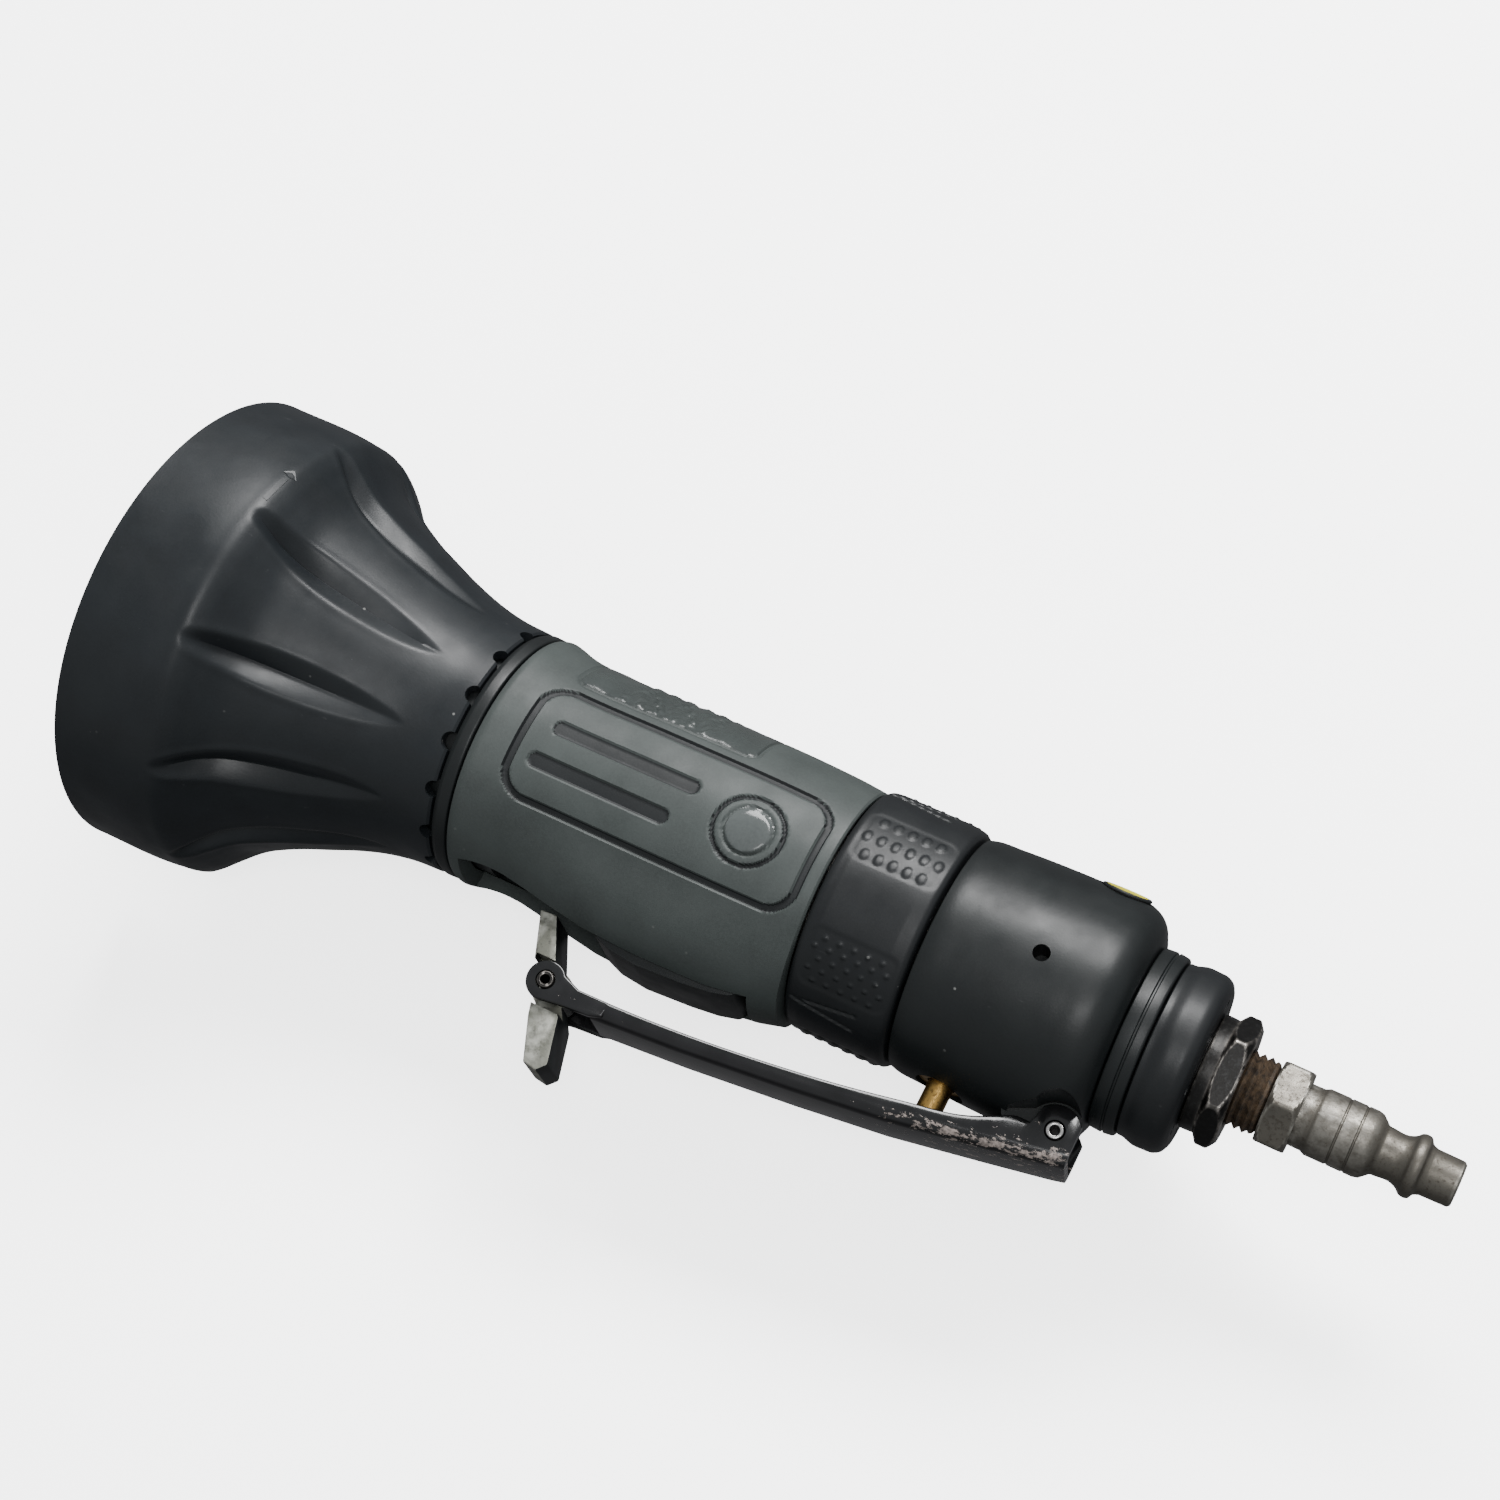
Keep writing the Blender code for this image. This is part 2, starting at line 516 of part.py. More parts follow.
def make_inlet():
    outside = [(201.2, 10.3), (198.5, 10.3), (198.5, INLET_SHANK_R), (177.0, INLET_SHANK_R), (177.0, 7.4), (174.6, 7.4),
               (174.6, INLET_SHANK_R), (170.0, INLET_SHANK_R)]
    inside = [(170.0, 5.2), (193.7, 5.2), (193.7, PLUG_THREAD_R + GAP), (201.2, PLUG_THREAD_R + GAP)]
    bushing = turned("inlet_bushing", outside + inside, "gun_metal", steps=MID_STEPS)
    nut = hexagon("bushing_hex_form", 201.0, 205.1, HEX_AF, None)
    hole = rod("bushing_hex_cut", 200.0, 206.0, PLUG_THREAD_R + GAP, None, steps=MID_STEPS)
    join(bushing, nut)
    cut(bushing, hole)
    centre = (175.8, 8.35)
    section = arc(centre, 0.65, 90.0, 450.0, 8)[:-1]
    turned("o_ring", section, "black_rubber", steps=SMALL_STEPS)
    screen = rod("inlet_screen", 180.0, 181.0, 4.9, "brass", steps=SMALL_STEPS)
    for i in range(6):
        hole = rod(f"screen_cut_{i + 1}", 179.0, 182.0, 0.9, None, steps=8, at=(0.0, 0.0, 2.9))
        cut(screen, around_axis(hole, i * 60.0))
    cut(screen, rod("screen_cut_middle", 179.0, 182.0, 0.9, None, steps=8))
    make_air_plug()


def make_air_plug():
    """Quarter-inch coupler plug: thread, hexagon, body, latch groove and nose."""
    outside = [(PLUG_END, 3.7), (242.9, 4.1), (237.6, 4.1), (236.7, 5.4), (235.9, 5.6), (235.1, 5.4), (233.6, 4.3),
               (230.0, 4.3), (228.4, 5.7), (227.4, 5.95), (218.9, 5.95), (218.2, 5.6), (210.0, 5.6),
               (210.0, PLUG_THREAD_R), (195.2, PLUG_THREAD_R - 0.6), (194.0, 5.4)]
    inside = [(194.0, PLUG_BORE_R), (PLUG_END, PLUG_BORE_R)]
    plug = turned("air_plug", outside + inside, "zinc", steps=SMALL_STEPS)
    nut = hexagon("plug_hex_form", 210.5, 215.7, PLUG_HEX_AF, None)
    join(plug, cut(nut, rod("plug_hex_cut", 209.0, 217.0, 4.5, None, steps=SMALL_STEPS)))


make_guard()
make_nose()
make_spindle()
make_motor_housing()
make_grip_sleeve()
make_reversing()
make_rear_housing()
make_motor()
make_throttle_valve()
make_lever()
make_lock_off()
make_exhaust()
make_inlet()
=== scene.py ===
"""Looks of the in-line cut-off tool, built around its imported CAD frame.

Lengths are in millimetres and become metres in make_mesh. The tool's axis is X; an angle
round it is counted in degrees from +Z (nameplate side) towards +Y, so the lever is at -90.
"""
import json
import math

import bmesh
import bpy
import numpy as np
from mathutils import Matrix, Vector

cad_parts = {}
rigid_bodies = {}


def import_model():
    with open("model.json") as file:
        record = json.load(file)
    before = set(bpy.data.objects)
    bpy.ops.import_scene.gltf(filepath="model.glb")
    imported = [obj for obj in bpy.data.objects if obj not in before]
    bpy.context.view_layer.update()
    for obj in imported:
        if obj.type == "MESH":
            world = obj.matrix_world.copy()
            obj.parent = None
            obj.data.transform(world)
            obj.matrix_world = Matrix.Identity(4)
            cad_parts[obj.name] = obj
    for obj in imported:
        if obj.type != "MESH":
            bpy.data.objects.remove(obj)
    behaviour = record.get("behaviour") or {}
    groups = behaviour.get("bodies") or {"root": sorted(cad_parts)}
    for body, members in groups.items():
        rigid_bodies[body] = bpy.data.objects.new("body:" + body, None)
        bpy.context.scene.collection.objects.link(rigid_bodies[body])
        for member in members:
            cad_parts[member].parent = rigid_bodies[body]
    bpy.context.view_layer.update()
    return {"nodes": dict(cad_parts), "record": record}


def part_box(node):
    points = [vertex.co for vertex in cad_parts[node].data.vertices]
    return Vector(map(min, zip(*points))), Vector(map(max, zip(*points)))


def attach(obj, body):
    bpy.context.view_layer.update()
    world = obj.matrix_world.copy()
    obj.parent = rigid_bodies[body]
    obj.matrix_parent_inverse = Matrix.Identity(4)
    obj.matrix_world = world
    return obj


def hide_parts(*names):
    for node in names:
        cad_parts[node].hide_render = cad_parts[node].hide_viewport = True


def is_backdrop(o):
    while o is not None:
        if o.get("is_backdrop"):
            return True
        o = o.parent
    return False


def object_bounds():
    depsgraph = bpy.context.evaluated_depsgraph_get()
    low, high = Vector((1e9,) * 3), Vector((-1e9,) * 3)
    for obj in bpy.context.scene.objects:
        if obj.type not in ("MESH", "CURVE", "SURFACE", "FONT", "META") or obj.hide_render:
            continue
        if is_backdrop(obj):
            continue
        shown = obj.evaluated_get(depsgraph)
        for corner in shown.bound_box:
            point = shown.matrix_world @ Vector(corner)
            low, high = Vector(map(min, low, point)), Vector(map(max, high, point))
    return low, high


for leftover in list(bpy.data.objects):
    bpy.data.objects.remove(leftover, do_unlink=True)

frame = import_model()

MM = 0.001
LEVER_PIVOT = (181.4, -21.7)
LOCK_PIVOT = (91.3, -35.5)
LEVER_HALF = 7.2
NOTCH_COUNT = 16
GUARD_REAR = 59.8
OPEN_X = 34.0             # the guard is cut away ahead of this and below OPEN_Z
OPEN_Z = -16.0
VALVE_X = 160.0
PIN_HOLE_R = 1.8
BALL_HOLE_R = 1.8
BALL_X = 56.8
BALL_TURN = -38.0
VENT_X = 168.8
VENT_TURN = 2.0


# ---------------------------------------------------------------- materials

def new_material(name, colour, roughness, metallic=0.0, specular=0.5, coat=0.0):
    material = bpy.data.materials.new(name)
    material.use_nodes = True
    shader = material.node_tree.nodes["Principled BSDF"]
    shader.inputs["Base Color"].default_value = (*colour, 1.0)
    shader.inputs["Roughness"].default_value = roughness
    shader.inputs["Metallic"].default_value = metallic
    shader.inputs["Specular IOR Level"].default_value = specular
    if coat:
        shader.inputs["Coat Weight"].default_value = coat
        shader.inputs["Coat Roughness"].default_value = 0.06
    return material


class Nodes:
    """Short names for the node graph of one material."""

    def __init__(self, material):
        self.tree = material.node_tree
        self.shader = self.tree.nodes["Principled BSDF"]
        self.coords = self.tree.nodes.new("ShaderNodeTexCoord").outputs["Object"]

    def link(self, source, target):
        self.tree.links.new(source, target)

    def stretched(self, scale):
        node = self.tree.nodes.new("ShaderNodeMapping")
        node.inputs["Scale"].default_value = scale
        self.link(self.coords, node.inputs["Vector"])
        return node.outputs["Vector"]

    def noise(self, size_mm, detail=3.0, rough=0.55, stretch=(1.0, 1.0, 1.0), seed=0.0):
        node = self.tree.nodes.new("ShaderNodeTexNoise")
        node.noise_dimensions = "4D"
        node.inputs["Scale"].default_value = 1.0 / (size_mm * MM)
        node.inputs["Detail"].default_value = detail
        node.inputs["Roughness"].default_value = rough
        node.inputs["W"].default_value = seed
        self.link(self.stretched(stretch), node.inputs["Vector"])
        return node.outputs["Fac"]

    def cells(self, size_mm):
        node = self.tree.nodes.new("ShaderNodeTexVoronoi")
        node.inputs["Scale"].default_value = 1.0 / (size_mm * MM)
        self.link(self.stretched((1.0, 1.0, 1.0)), node.inputs["Vector"])
        return node.outputs["Distance"]

    def ramp(self, value, low, high, start=0.0, end=1.0):
        node = self.tree.nodes.new("ShaderNodeMapRange")
        node.inputs["From Min"].default_value = low
        node.inputs["From Max"].default_value = high
        node.inputs["To Min"].default_value = start
        node.inputs["To Max"].default_value = end
        self.link(value, node.inputs["Value"])
        return node.outputs["Result"]

    def maths(self, operation, first, second):
        node = self.tree.nodes.new("ShaderNodeMath")
        node.operation = operation
        for socket, value in zip(node.inputs, (first, second)):
            if isinstance(value, (int, float)):
                socket.default_value = value
            else:
                self.link(value, socket)
        return node.outputs["Value"]

    def attribute(self, name):
        node = self.tree.nodes.new("ShaderNodeAttribute")
        node.attribute_name = name
        return node.outputs["Fac"]

    def edges(self, low, high):
        node = self.tree.nodes.new("ShaderNodeNewGeometry")
        return self.ramp(node.outputs["Pointiness"], low, high)

    def mix(self, factor, first, second):
        node = self.tree.nodes.new("ShaderNodeMix")
        node.data_type = "RGBA"
        self.link(factor, node.inputs["Factor"])
        for socket, value in ((node.inputs["A"], first), (node.inputs["B"], second)):
            if isinstance(value, tuple):
                socket.default_value = (*value, 1.0)
            else:
                self.link(value, socket)
        return node.outputs["Result"]

    def bump(self, height, distance_mm, strength=1.0, before=None):
        node = self.tree.nodes.new("ShaderNodeBump")
        node.inputs["Distance"].default_value = distance_mm * MM
        node.inputs["Strength"].default_value = strength
        self.link(height, node.inputs["Height"])
        if before is not None:
            self.link(before, node.inputs["Normal"])
        return node.outputs["Normal"]

    def set(self, socket, value):
        self.link(value, self.shader.inputs[socket])

    def roughen(self, noise, low, high, mask, amount):
        """Roughness from low to high with the noise, and higher where the mask is."""
        self.set("Roughness", self.maths("ADD", self.ramp(noise, 0.3, 0.7, low, high),
                                         self.maths("MULTIPLY", mask, amount)))


def shade(colour, factor):
    return tuple(channel * factor for channel in colour)


def coated(name, colour, roughness, grain_mm=0.35, grain_depth=0.03, scuff=0.35, dust=0.10):
    """Satin paint or moulded plastic: mottled colour, fine grain, sparse scuffs and specks."""
    material = new_material(name, colour, roughness, specular=0.22)
    n = Nodes(material)
    mottle = n.ramp(n.noise(9.0, 4.0), 0.3, 0.7)
    base = n.mix(mottle, shade(colour, 0.82), shade(colour, 1.2))
    fine = n.ramp(n.noise(0.5, 2.0), 0.35, 0.65)
    base = n.mix(fine, base, n.mix(mottle, colour, shade(colour, 1.25)))
    scratch = n.ramp(n.noise(2.2, 5.0, 0.7, (0.35, 1.7, 1.0), 3.0), 0.665, 0.72, 0.0, scuff)
    base = n.mix(scratch, base, tuple(0.8 * c + 0.035 for c in colour))
    specks = n.maths("MULTIPLY", n.ramp(n.cells(5.5), 0.055, 0.04),
                     n.ramp(n.noise(14.0, 2.0, seed=7.0), 0.52, 0.62, 0.0, dust * 4))
    base = n.mix(specks, base, (0.22, 0.22, 0.21))
    n.set("Base Color", base)
    n.roughen(n.noise(6.0, 4.0, seed=5.0), roughness - 0.07, roughness + 0.08, scratch, 0.25)
    grain = n.bump(n.noise(grain_mm, 3.0, 0.6), grain_depth, 0.6)
    n.set("Normal", n.bump(n.noise(7.0, 2.0), 0.12, 0.25, grain))
    return material


def worked_metal(name, colour, roughness, speckle=(0.1, 0.1, 0.1), amount=0.5, speckle_mm=0.9, pit=0.05,
                 edge=None, brushed=(1.0, 1.0, 1.0), metallic=1.0):
    """Metal with dark or rusty speckles, small pits and, if asked, bright worn edges."""
    material = new_material(name, colour, roughness, metallic)
    n = Nodes(material)
    broad = n.ramp(n.noise(6.0, 4.0, seed=2.0), 0.3, 0.7)
    base = n.mix(broad, shade(colour, 0.8), shade(colour, 1.15))
    spots = n.ramp(n.noise(speckle_mm, 4.0, 0.7, seed=4.0), 0.52, 0.66, 0.0, amount)
    base = n.mix(spots, base, speckle)
    if edge is not None:
        worn = n.maths("MULTIPLY", n.edges(0.515, 0.56), n.ramp(n.noise(1.6, 3.0, seed=9.0), 0.35, 0.6))
        base = n.mix(worn, base, edge)
    n.set("Base Color", base)
    n.roughen(n.noise(2.0, 4.0, 0.6, brushed, 6.0), roughness - 0.08, roughness + 0.1, spots, 0.25)
    pits = n.bump(n.noise(speckle_mm, 4.0, 0.7, seed=4.0), pit, 0.7)
    n.set("Normal", n.bump(n.noise(0.25, 2.0, 0.5, brushed), 0.012, 0.5, pits))
    return material


def make_lever_enamel():
    """Gloss black enamel with chips and streaks where the attribute 'wear' asks for them."""
    colour = (0.0035, 0.0035, 0.0038)
    material = new_material("lever_enamel", colour, 0.16, specular=0.3, coat=0.12)
    n = Nodes(material)
    wear = n.attribute("wear")
    chips = n.noise(1.1, 5.0, 0.75, (0.55, 1.0, 1.0), 1.0)
    mask = n.ramp(n.maths("ADD", chips, n.maths("MULTIPLY", wear, 0.22)), 0.695, 0.72)
    base = n.mix(n.ramp(n.noise(4.0, 3.0), 0.3, 0.7), shade(colour, 0.8), shade(colour, 1.8))
    bare = n.mix(n.ramp(n.noise(0.6, 3.0, seed=8.0), 0.4, 0.6), (0.12, 0.10, 0.09), (0.24, 0.20, 0.18))
    n.set("Base Color", n.mix(mask, base, bare))
    n.roughen(n.noise(5.0, 4.0, seed=5.0), 0.10, 0.24, mask, 0.3)
    n.set("Normal", n.bump(n.maths("ADD", n.noise(2.5, 2.0), n.maths("MULTIPLY", mask, -0.4)), 0.04, 0.5))
    return material


def make_vane_resin():
    colour = (0.10, 0.05, 0.025)
    material = new_material("vane_resin", colour, 0.6)
    n = Nodes(material)
    threads = n.noise(0.5, 2.0, 0.5, (0.2, 1.0, 3.0))
    n.set("Base Color", n.mix(n.ramp(threads, 0.35, 0.65), shade(colour, 0.7), shade(colour, 1.3)))
    n.set("Normal", n.bump(threads, 0.05, 0.5))
    return material


def make_felt():
    colour = (0.20, 0.19, 0.17)
    material = new_material("felt", colour, 0.95, specular=0.2)
    n = Nodes(material)
    fibres = n.noise(0.4, 5.0, 0.75)
    n.set("Base Color", n.mix(n.ramp(fibres, 0.3, 0.7), shade(colour, 0.6), shade(colour, 1.3)))
    n.set("Normal", n.bump(fibres, 0.3, 0.8))
    return material


def make_thread_iron():
    """Steel thread browned by rust and sealant."""
    material = new_material("thread_iron", (0.16, 0.10, 0.06), 0.6, 0.5)
    n = Nodes(material)
    rust = n.ramp(n.noise(1.4, 5.0, 0.7), 0.38, 0.62)
    n.set("Base Color", n.mix(rust, (0.014, 0.010, 0.007), (0.065, 0.042, 0.024)))
    n.set("Roughness", n.ramp(n.noise(0.9, 3.0), 0.3, 0.7, 0.4, 0.8))
    n.set("Normal", n.bump(n.noise(0.5, 4.0), 0.08, 0.8))
    return material


MATERIALS = {
    "guard_shell": coated("guard_shell", (0.0065, 0.0078, 0.0090), 0.40, 0.5, 0.025, 0.30, 0.12),
    "black_body": coated("black_body", (0.0050, 0.0060, 0.0062), 0.40, 0.4, 0.025, 0.35, 0.10),
    "soft_grip": coated("soft_grip", (0.029, 0.034, 0.0325), 0.50, 0.3, 0.03, 0.12, 0.04),
    "grip_line": coated("grip_line", (0.0060, 0.0070, 0.0075), 0.55, 0.3, 0.04, 0.10, 0.02),
    "thumb_pad": coated("thumb_pad", (0.026, 0.030, 0.029), 0.24, 0.6, 0.06, 0.25, 0.06),
    "ring_rubber": coated("ring_rubber", (0.0055, 0.0062, 0.0068), 0.42, 0.3, 0.03, 0.25, 0.06),
    "lever_enamel": make_lever_enamel(),
    "olive_cast": worked_metal("olive_cast", (0.095, 0.096, 0.078), 0.46,
                               (0.045, 0.045, 0.04), 0.75, 0.7, 0.06, (0.26, 0.26, 0.23), metallic=0.6),
    "bright_steel": worked_metal("bright_steel", (0.36, 0.35, 0.34), 0.26,
                                 (0.12, 0.09, 0.07), 0.35, 0.8, 0.02, brushed=(6.0, 1.0, 1.0)),
    "dark_steel": worked_metal("dark_steel", (0.013, 0.0125, 0.012), 0.36,
                               (0.03, 0.03, 0.03), 0.6, 0.8, 0.04, (0.26, 0.24, 0.22), metallic=0.9),
    "iron": worked_metal("iron", (0.09, 0.088, 0.085), 0.5, (0.10, 0.06, 0.04), 0.6, 1.2, 0.06),
    "thread_iron": make_thread_iron(),
    "brass": worked_metal("brass", (0.36, 0.22, 0.065), 0.33, (0.05, 0.03, 0.012), 0.9, 0.55, 0.06),
    "zinc": worked_metal("zinc", (0.085, 0.078, 0.066), 0.42,
                         (0.045, 0.038, 0.03), 0.8, 0.8, 0.06, (0.20, 0.19, 0.17), metallic=0.8),
    "vane_resin": make_vane_resin(),
    "yellow_label": coated("yellow_label", (0.38, 0.34, 0.012), 0.35, 0.4, 0.02, 0.15, 0.05),
    "felt": make_felt(),
    "boss_gloss": coated("boss_gloss", (0.045, 0.050, 0.049), 0.13, 1.5, 0.01, 0.2, 0.05),
}


# ---------------------------------------------------------------- mesh helpers

def placed(name, data):
    obj = bpy.data.objects.new(name, data)
    bpy.context.scene.collection.objects.link(obj)
    return obj


def make_mesh(name, points, faces, material):
    """Object of points in millimetres; faces is a list of index tuples or an (n, 4) array."""
    mesh = bpy.data.meshes.new(name)
    mesh.from_pydata((np.asarray(points, float) * MM).tolist(), [], [tuple(f) for f in faces])
    mesh.materials.append(MATERIALS[material])
    return placed(name, mesh)


def wrapped(name, rings, material, weld=False):
    """Closed skin over rings (k, m, 3): both directions wrap round."""
    k, m, _ = rings.shape
    i = np.arange(k)[:, None]
    j = np.arange(m)[None, :]
    a = i * m + j
    b = ((i + 1) % k) * m + j
    c = ((i + 1) % k) * m + (j + 1) % m
    d = i * m + (j + 1) % m
    faces = np.stack([a, b, c, d], -1).reshape(-1, 4)
    obj = make_mesh(name, rings.reshape(-1, 3), faces.tolist(), material)
    return outward(obj, weld)


def outward(obj, weld=False):
    shape = bmesh.new()
    shape.from_mesh(obj.data)
    if weld:
        bmesh.ops.remove_doubles(shape, verts=shape.verts, dist=1e-8)
        bmesh.ops.dissolve_degenerate(shape, edges=shape.edges, dist=1e-9)
    if shape.calc_volume(signed=True) < 0:
        bmesh.ops.reverse_faces(shape, faces=shape.faces)
    shape.to_mesh(obj.data)
    shape.free()
    return obj


def smooth(obj, angle=32.0):
    obj.data.polygons.foreach_set("use_smooth", [True] * len(obj.data.polygons))
    obj.data.set_sharp_from_angle(angle=math.radians(angle))
    return obj


def rounded(points, radius=0.4, count=4, closed=True):
    """Corners of a 2-D outline replaced by arcs; a point may carry its own radius third."""
    result = []
    total = len(points)
    for i, point in enumerate(points):
        here = Vector(point[:2])
        r = point[2] if len(point) > 2 else radius
        if r <= 0 or (not closed and i in (0, total - 1)):
            result.append(tuple(here))
            continue
        before = Vector(points[i - 1][:2]) - here
        after = Vector(points[(i + 1) % total][:2]) - here
        angle = before.angle(after)
        if angle > math.radians(176):
            result.append(tuple(here))
            continue
        reach = min(r / math.tan(angle / 2), 0.45 * before.length, 0.45 * after.length)
        start = here + before.normalized() * reach
        end = here + after.normalized() * reach
        for step in range(count + 1):
            t = step / count
            result.append(tuple(start * (1 - t) ** 2 + here * 2 * t * (1 - t) + end * t * t))
    return result


def flowing(points, step):
    """Smooth curve through the points, resampled at about this spacing."""
    p = np.array(points, float)
    chord = np.concatenate([[0.0], np.cumsum(np.hypot(*np.diff(p, axis=0).T))])
    slope = np.gradient(p, chord, axis=0)
    count = int(chord[-1] / step) + 1
    s = np.linspace(0.0, chord[-1], count)
    i = np.clip(np.searchsorted(chord, s, side="right") - 1, 0, len(p) - 2)
    h = (chord[i + 1] - chord[i])[:, None]
    t = ((s - chord[i]) / h[:, 0])[:, None]
    value = ((2 * t**3 - 3 * t**2 + 1) * p[i] + (t**3 - 2 * t**2 + t) * h * slope[i]
             + (-2 * t**3 + 3 * t**2) * p[i + 1] + (t**3 - t**2) * h * slope[i + 1])
    return [tuple(v) for v in value]


def turned(name, section, material, steps=128, weld=False, field=None, keep=None):
    """Solid of revolution of a closed (x, r) section. field(x, degrees) adds to r of the
    section's first keep points."""
    section = np.array(section, float)
    degrees = np.arange(steps) * 360.0 / steps
    x = np.repeat(section[:, :1], steps, 1)
    r = np.repeat(section[:, 1:], steps, 1)
    if field is not None:
        count = len(section) if keep is None else keep
        r[:count] += field(x[:count], degrees[None, :])
    angle = np.radians(degrees)[None, :]
    rings = np.stack([x, r * np.sin(angle), r * np.cos(angle)], -1)
    return smooth(wrapped(name, rings, material, weld))


def prism(name, outline, low, high, material, bevel=0.0, segments=3):
    """Outline in X and Y carried from z = low to high, with rounded edges."""
    shape = bmesh.new()
    base = [shape.verts.new((x, y, low)) for x, y in outline]
    face = shape.faces.new(base)
    moved = bmesh.ops.extrude_face_region(shape, geom=[face])["geom"]
    raised = [v for v in moved if isinstance(v, bmesh.types.BMVert)]
    bmesh.ops.translate(shape, vec=(0.0, 0.0, high - low), verts=raised)
    bmesh.ops.recalc_face_normals(shape, faces=shape.faces)
    if bevel:
        rims = [e for e in shape.edges if len(e.link_faces) == 2 and e.calc_face_angle() > math.radians(60)]
        bmesh.ops.bevel(shape, geom=rims, offset=bevel, segments=segments, profile=0.5, affect="EDGES",
                        clamp_overlap=True)
    bmesh.ops.scale(shape, vec=(MM, MM, MM), verts=shape.verts)
    mesh = bpy.data.meshes.new(name)
    shape.to_mesh(mesh)
    shape.free()
    mesh.materials.append(MATERIALS[material])
    return smooth(outward(placed(name, mesh)))


def tube(name, path, radius, material, sides=12):
    """Round wire along a 3-D path, with flat ends."""
    p = np.array(path, float)
    tangent = np.gradient(p, axis=0)
    tangent /= np.linalg.norm(tangent, axis=1)[:, None]
    normal = np.cross(tangent[0], (0.0, 0.0, 1.0) if abs(tangent[0][2]) < 0.9 else (1.0, 0.0, 0.0))
    points = []
    for here, along in zip(p, tangent):
        normal = normal - along * (normal @ along)
        normal /= np.linalg.norm(normal)
        side = np.cross(along, normal)
        for s in range(sides):
            a = math.tau * s / sides
            points.append(here + radius * (math.cos(a) * normal + math.sin(a) * side))
    faces = []
    for i in range(len(p) - 1):
        for s in range(sides):
            t = (s + 1) % sides
            faces.append((i * sides + s, i * sides + t, (i + 1) * sides + t, (i + 1) * sides + s))
    faces.append(tuple(range(sides))[::-1])
    faces.append(tuple((len(p) - 1) * sides + s for s in range(sides)))
    return smooth(outward(make_mesh(name, points, faces, material)))


def arc(centre, radius, start, end, count):
    return [(centre[0] + radius * math.cos(math.radians(start + (end - start) * i / count)),
             centre[1] + radius * math.sin(math.radians(start + (end - start) * i / count)))
            for i in range(count + 1)]


def step_up(value, low, high):
    """Smooth 0 to 1 as value goes from low to high."""
    t = np.clip((value - low) / (high - low), 0.0, 1.0)
    return t * t * (3 - 2 * t)


def apart(degrees, centre):
    """Signed angle from centre, from -180 to 180."""
    return (degrees - centre + 180.0) % 360.0 - 180.0


def cutter_rod(radius, low, high, matrix, steps=40):
    """Plain rod along local Z, used only to cut."""
    points = []
    for z in (low, high):
        points += [(radius * math.cos(math.tau * s / steps), radius * math.sin(math.tau * s / steps), z)
                   for s in range(steps)]
    faces = [tuple(range(steps))[::-1], tuple(range(steps, 2 * steps))]
    faces += [(s, (s + 1) % steps, steps + (s + 1) % steps, steps + s) for s in range(steps)]
    obj = make_mesh("cutter", points, faces, "black_body")
    obj.data.transform(Matrix.Diagonal((1 / MM, 1 / MM, 1 / MM, 1)))
    obj.data.transform(matrix)
    obj.data.transform(Matrix.Diagonal((MM, MM, MM, 1)))
    return outward(obj)


def cutter_box(low, high):
    (x0, y0, z0), (x1, y1, z1) = low, high
    points = [(x, y, z) for x in (x0, x1) for y in (y0, y1) for z in (z0, z1)]
    faces = [(0, 1, 3, 2), (4, 6, 7, 5), (0, 4, 5, 1), (2, 3, 7, 6), (0, 2, 6, 4), (1, 5, 7, 3)]
    return outward(make_mesh("cutter", points, faces, "black_body"))


def radial(x, degrees):
    """Matrix that stands local Z out of the axis at x and this angle."""
    return Matrix.Translation((x, 0.0, 0.0)) @ Matrix.Rotation(math.radians(-degrees), 4, "X")


def carve(obj, *cutters, operation="DIFFERENCE", solver="MANIFOLD"):
    for other in cutters:
        modifier = obj.modifiers.new("carve", "BOOLEAN")
        modifier.operation = operation
        modifier.solver = solver
        modifier.object = other
    bpy.context.view_layer.update()
    evaluated = obj.evaluated_get(bpy.context.evaluated_depsgraph_get())
    mesh = bpy.data.meshes.new_from_object(evaluated)
    obj.modifiers.clear()
    old = obj.data
    obj.data = mesh
    bpy.data.meshes.remove(old)
    for other in cutters:
        bpy.data.objects.remove(other, do_unlink=True)
    return smooth(obj)


def carry(obj, body, slot, *nodes):
    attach(obj, body)
    if nodes:
        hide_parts(*nodes)
    return obj


def paint_faces(obj, material, inside):
    """Second material on faces whose middle, in millimetres, passes inside(x, degrees, r)."""
    obj.data.materials.append(MATERIALS[material])
    index = len(obj.data.materials) - 1
    count = len(obj.data.polygons)
    middle = np.zeros(count * 3)
    obj.data.polygons.foreach_get("center", middle)
    middle = middle.reshape(-1, 3) / MM
    degrees = np.degrees(np.arctan2(middle[:, 1], middle[:, 2]))
    r = np.hypot(middle[:, 1], middle[:, 2])
    picked = inside(middle[:, 0], degrees, r)
    current = np.zeros(count, np.int32)
    obj.data.polygons.foreach_get("material_index", current)
    current[picked] = index
    obj.data.polygons.foreach_set("material_index", current)
    obj.data.update()


# ---------------------------------------------------------------- guard

DENT_TURN = 13.5
DENT_PITCH = 34.0
DENT_COUNT = 7
NOTCH_TURN = 3.5


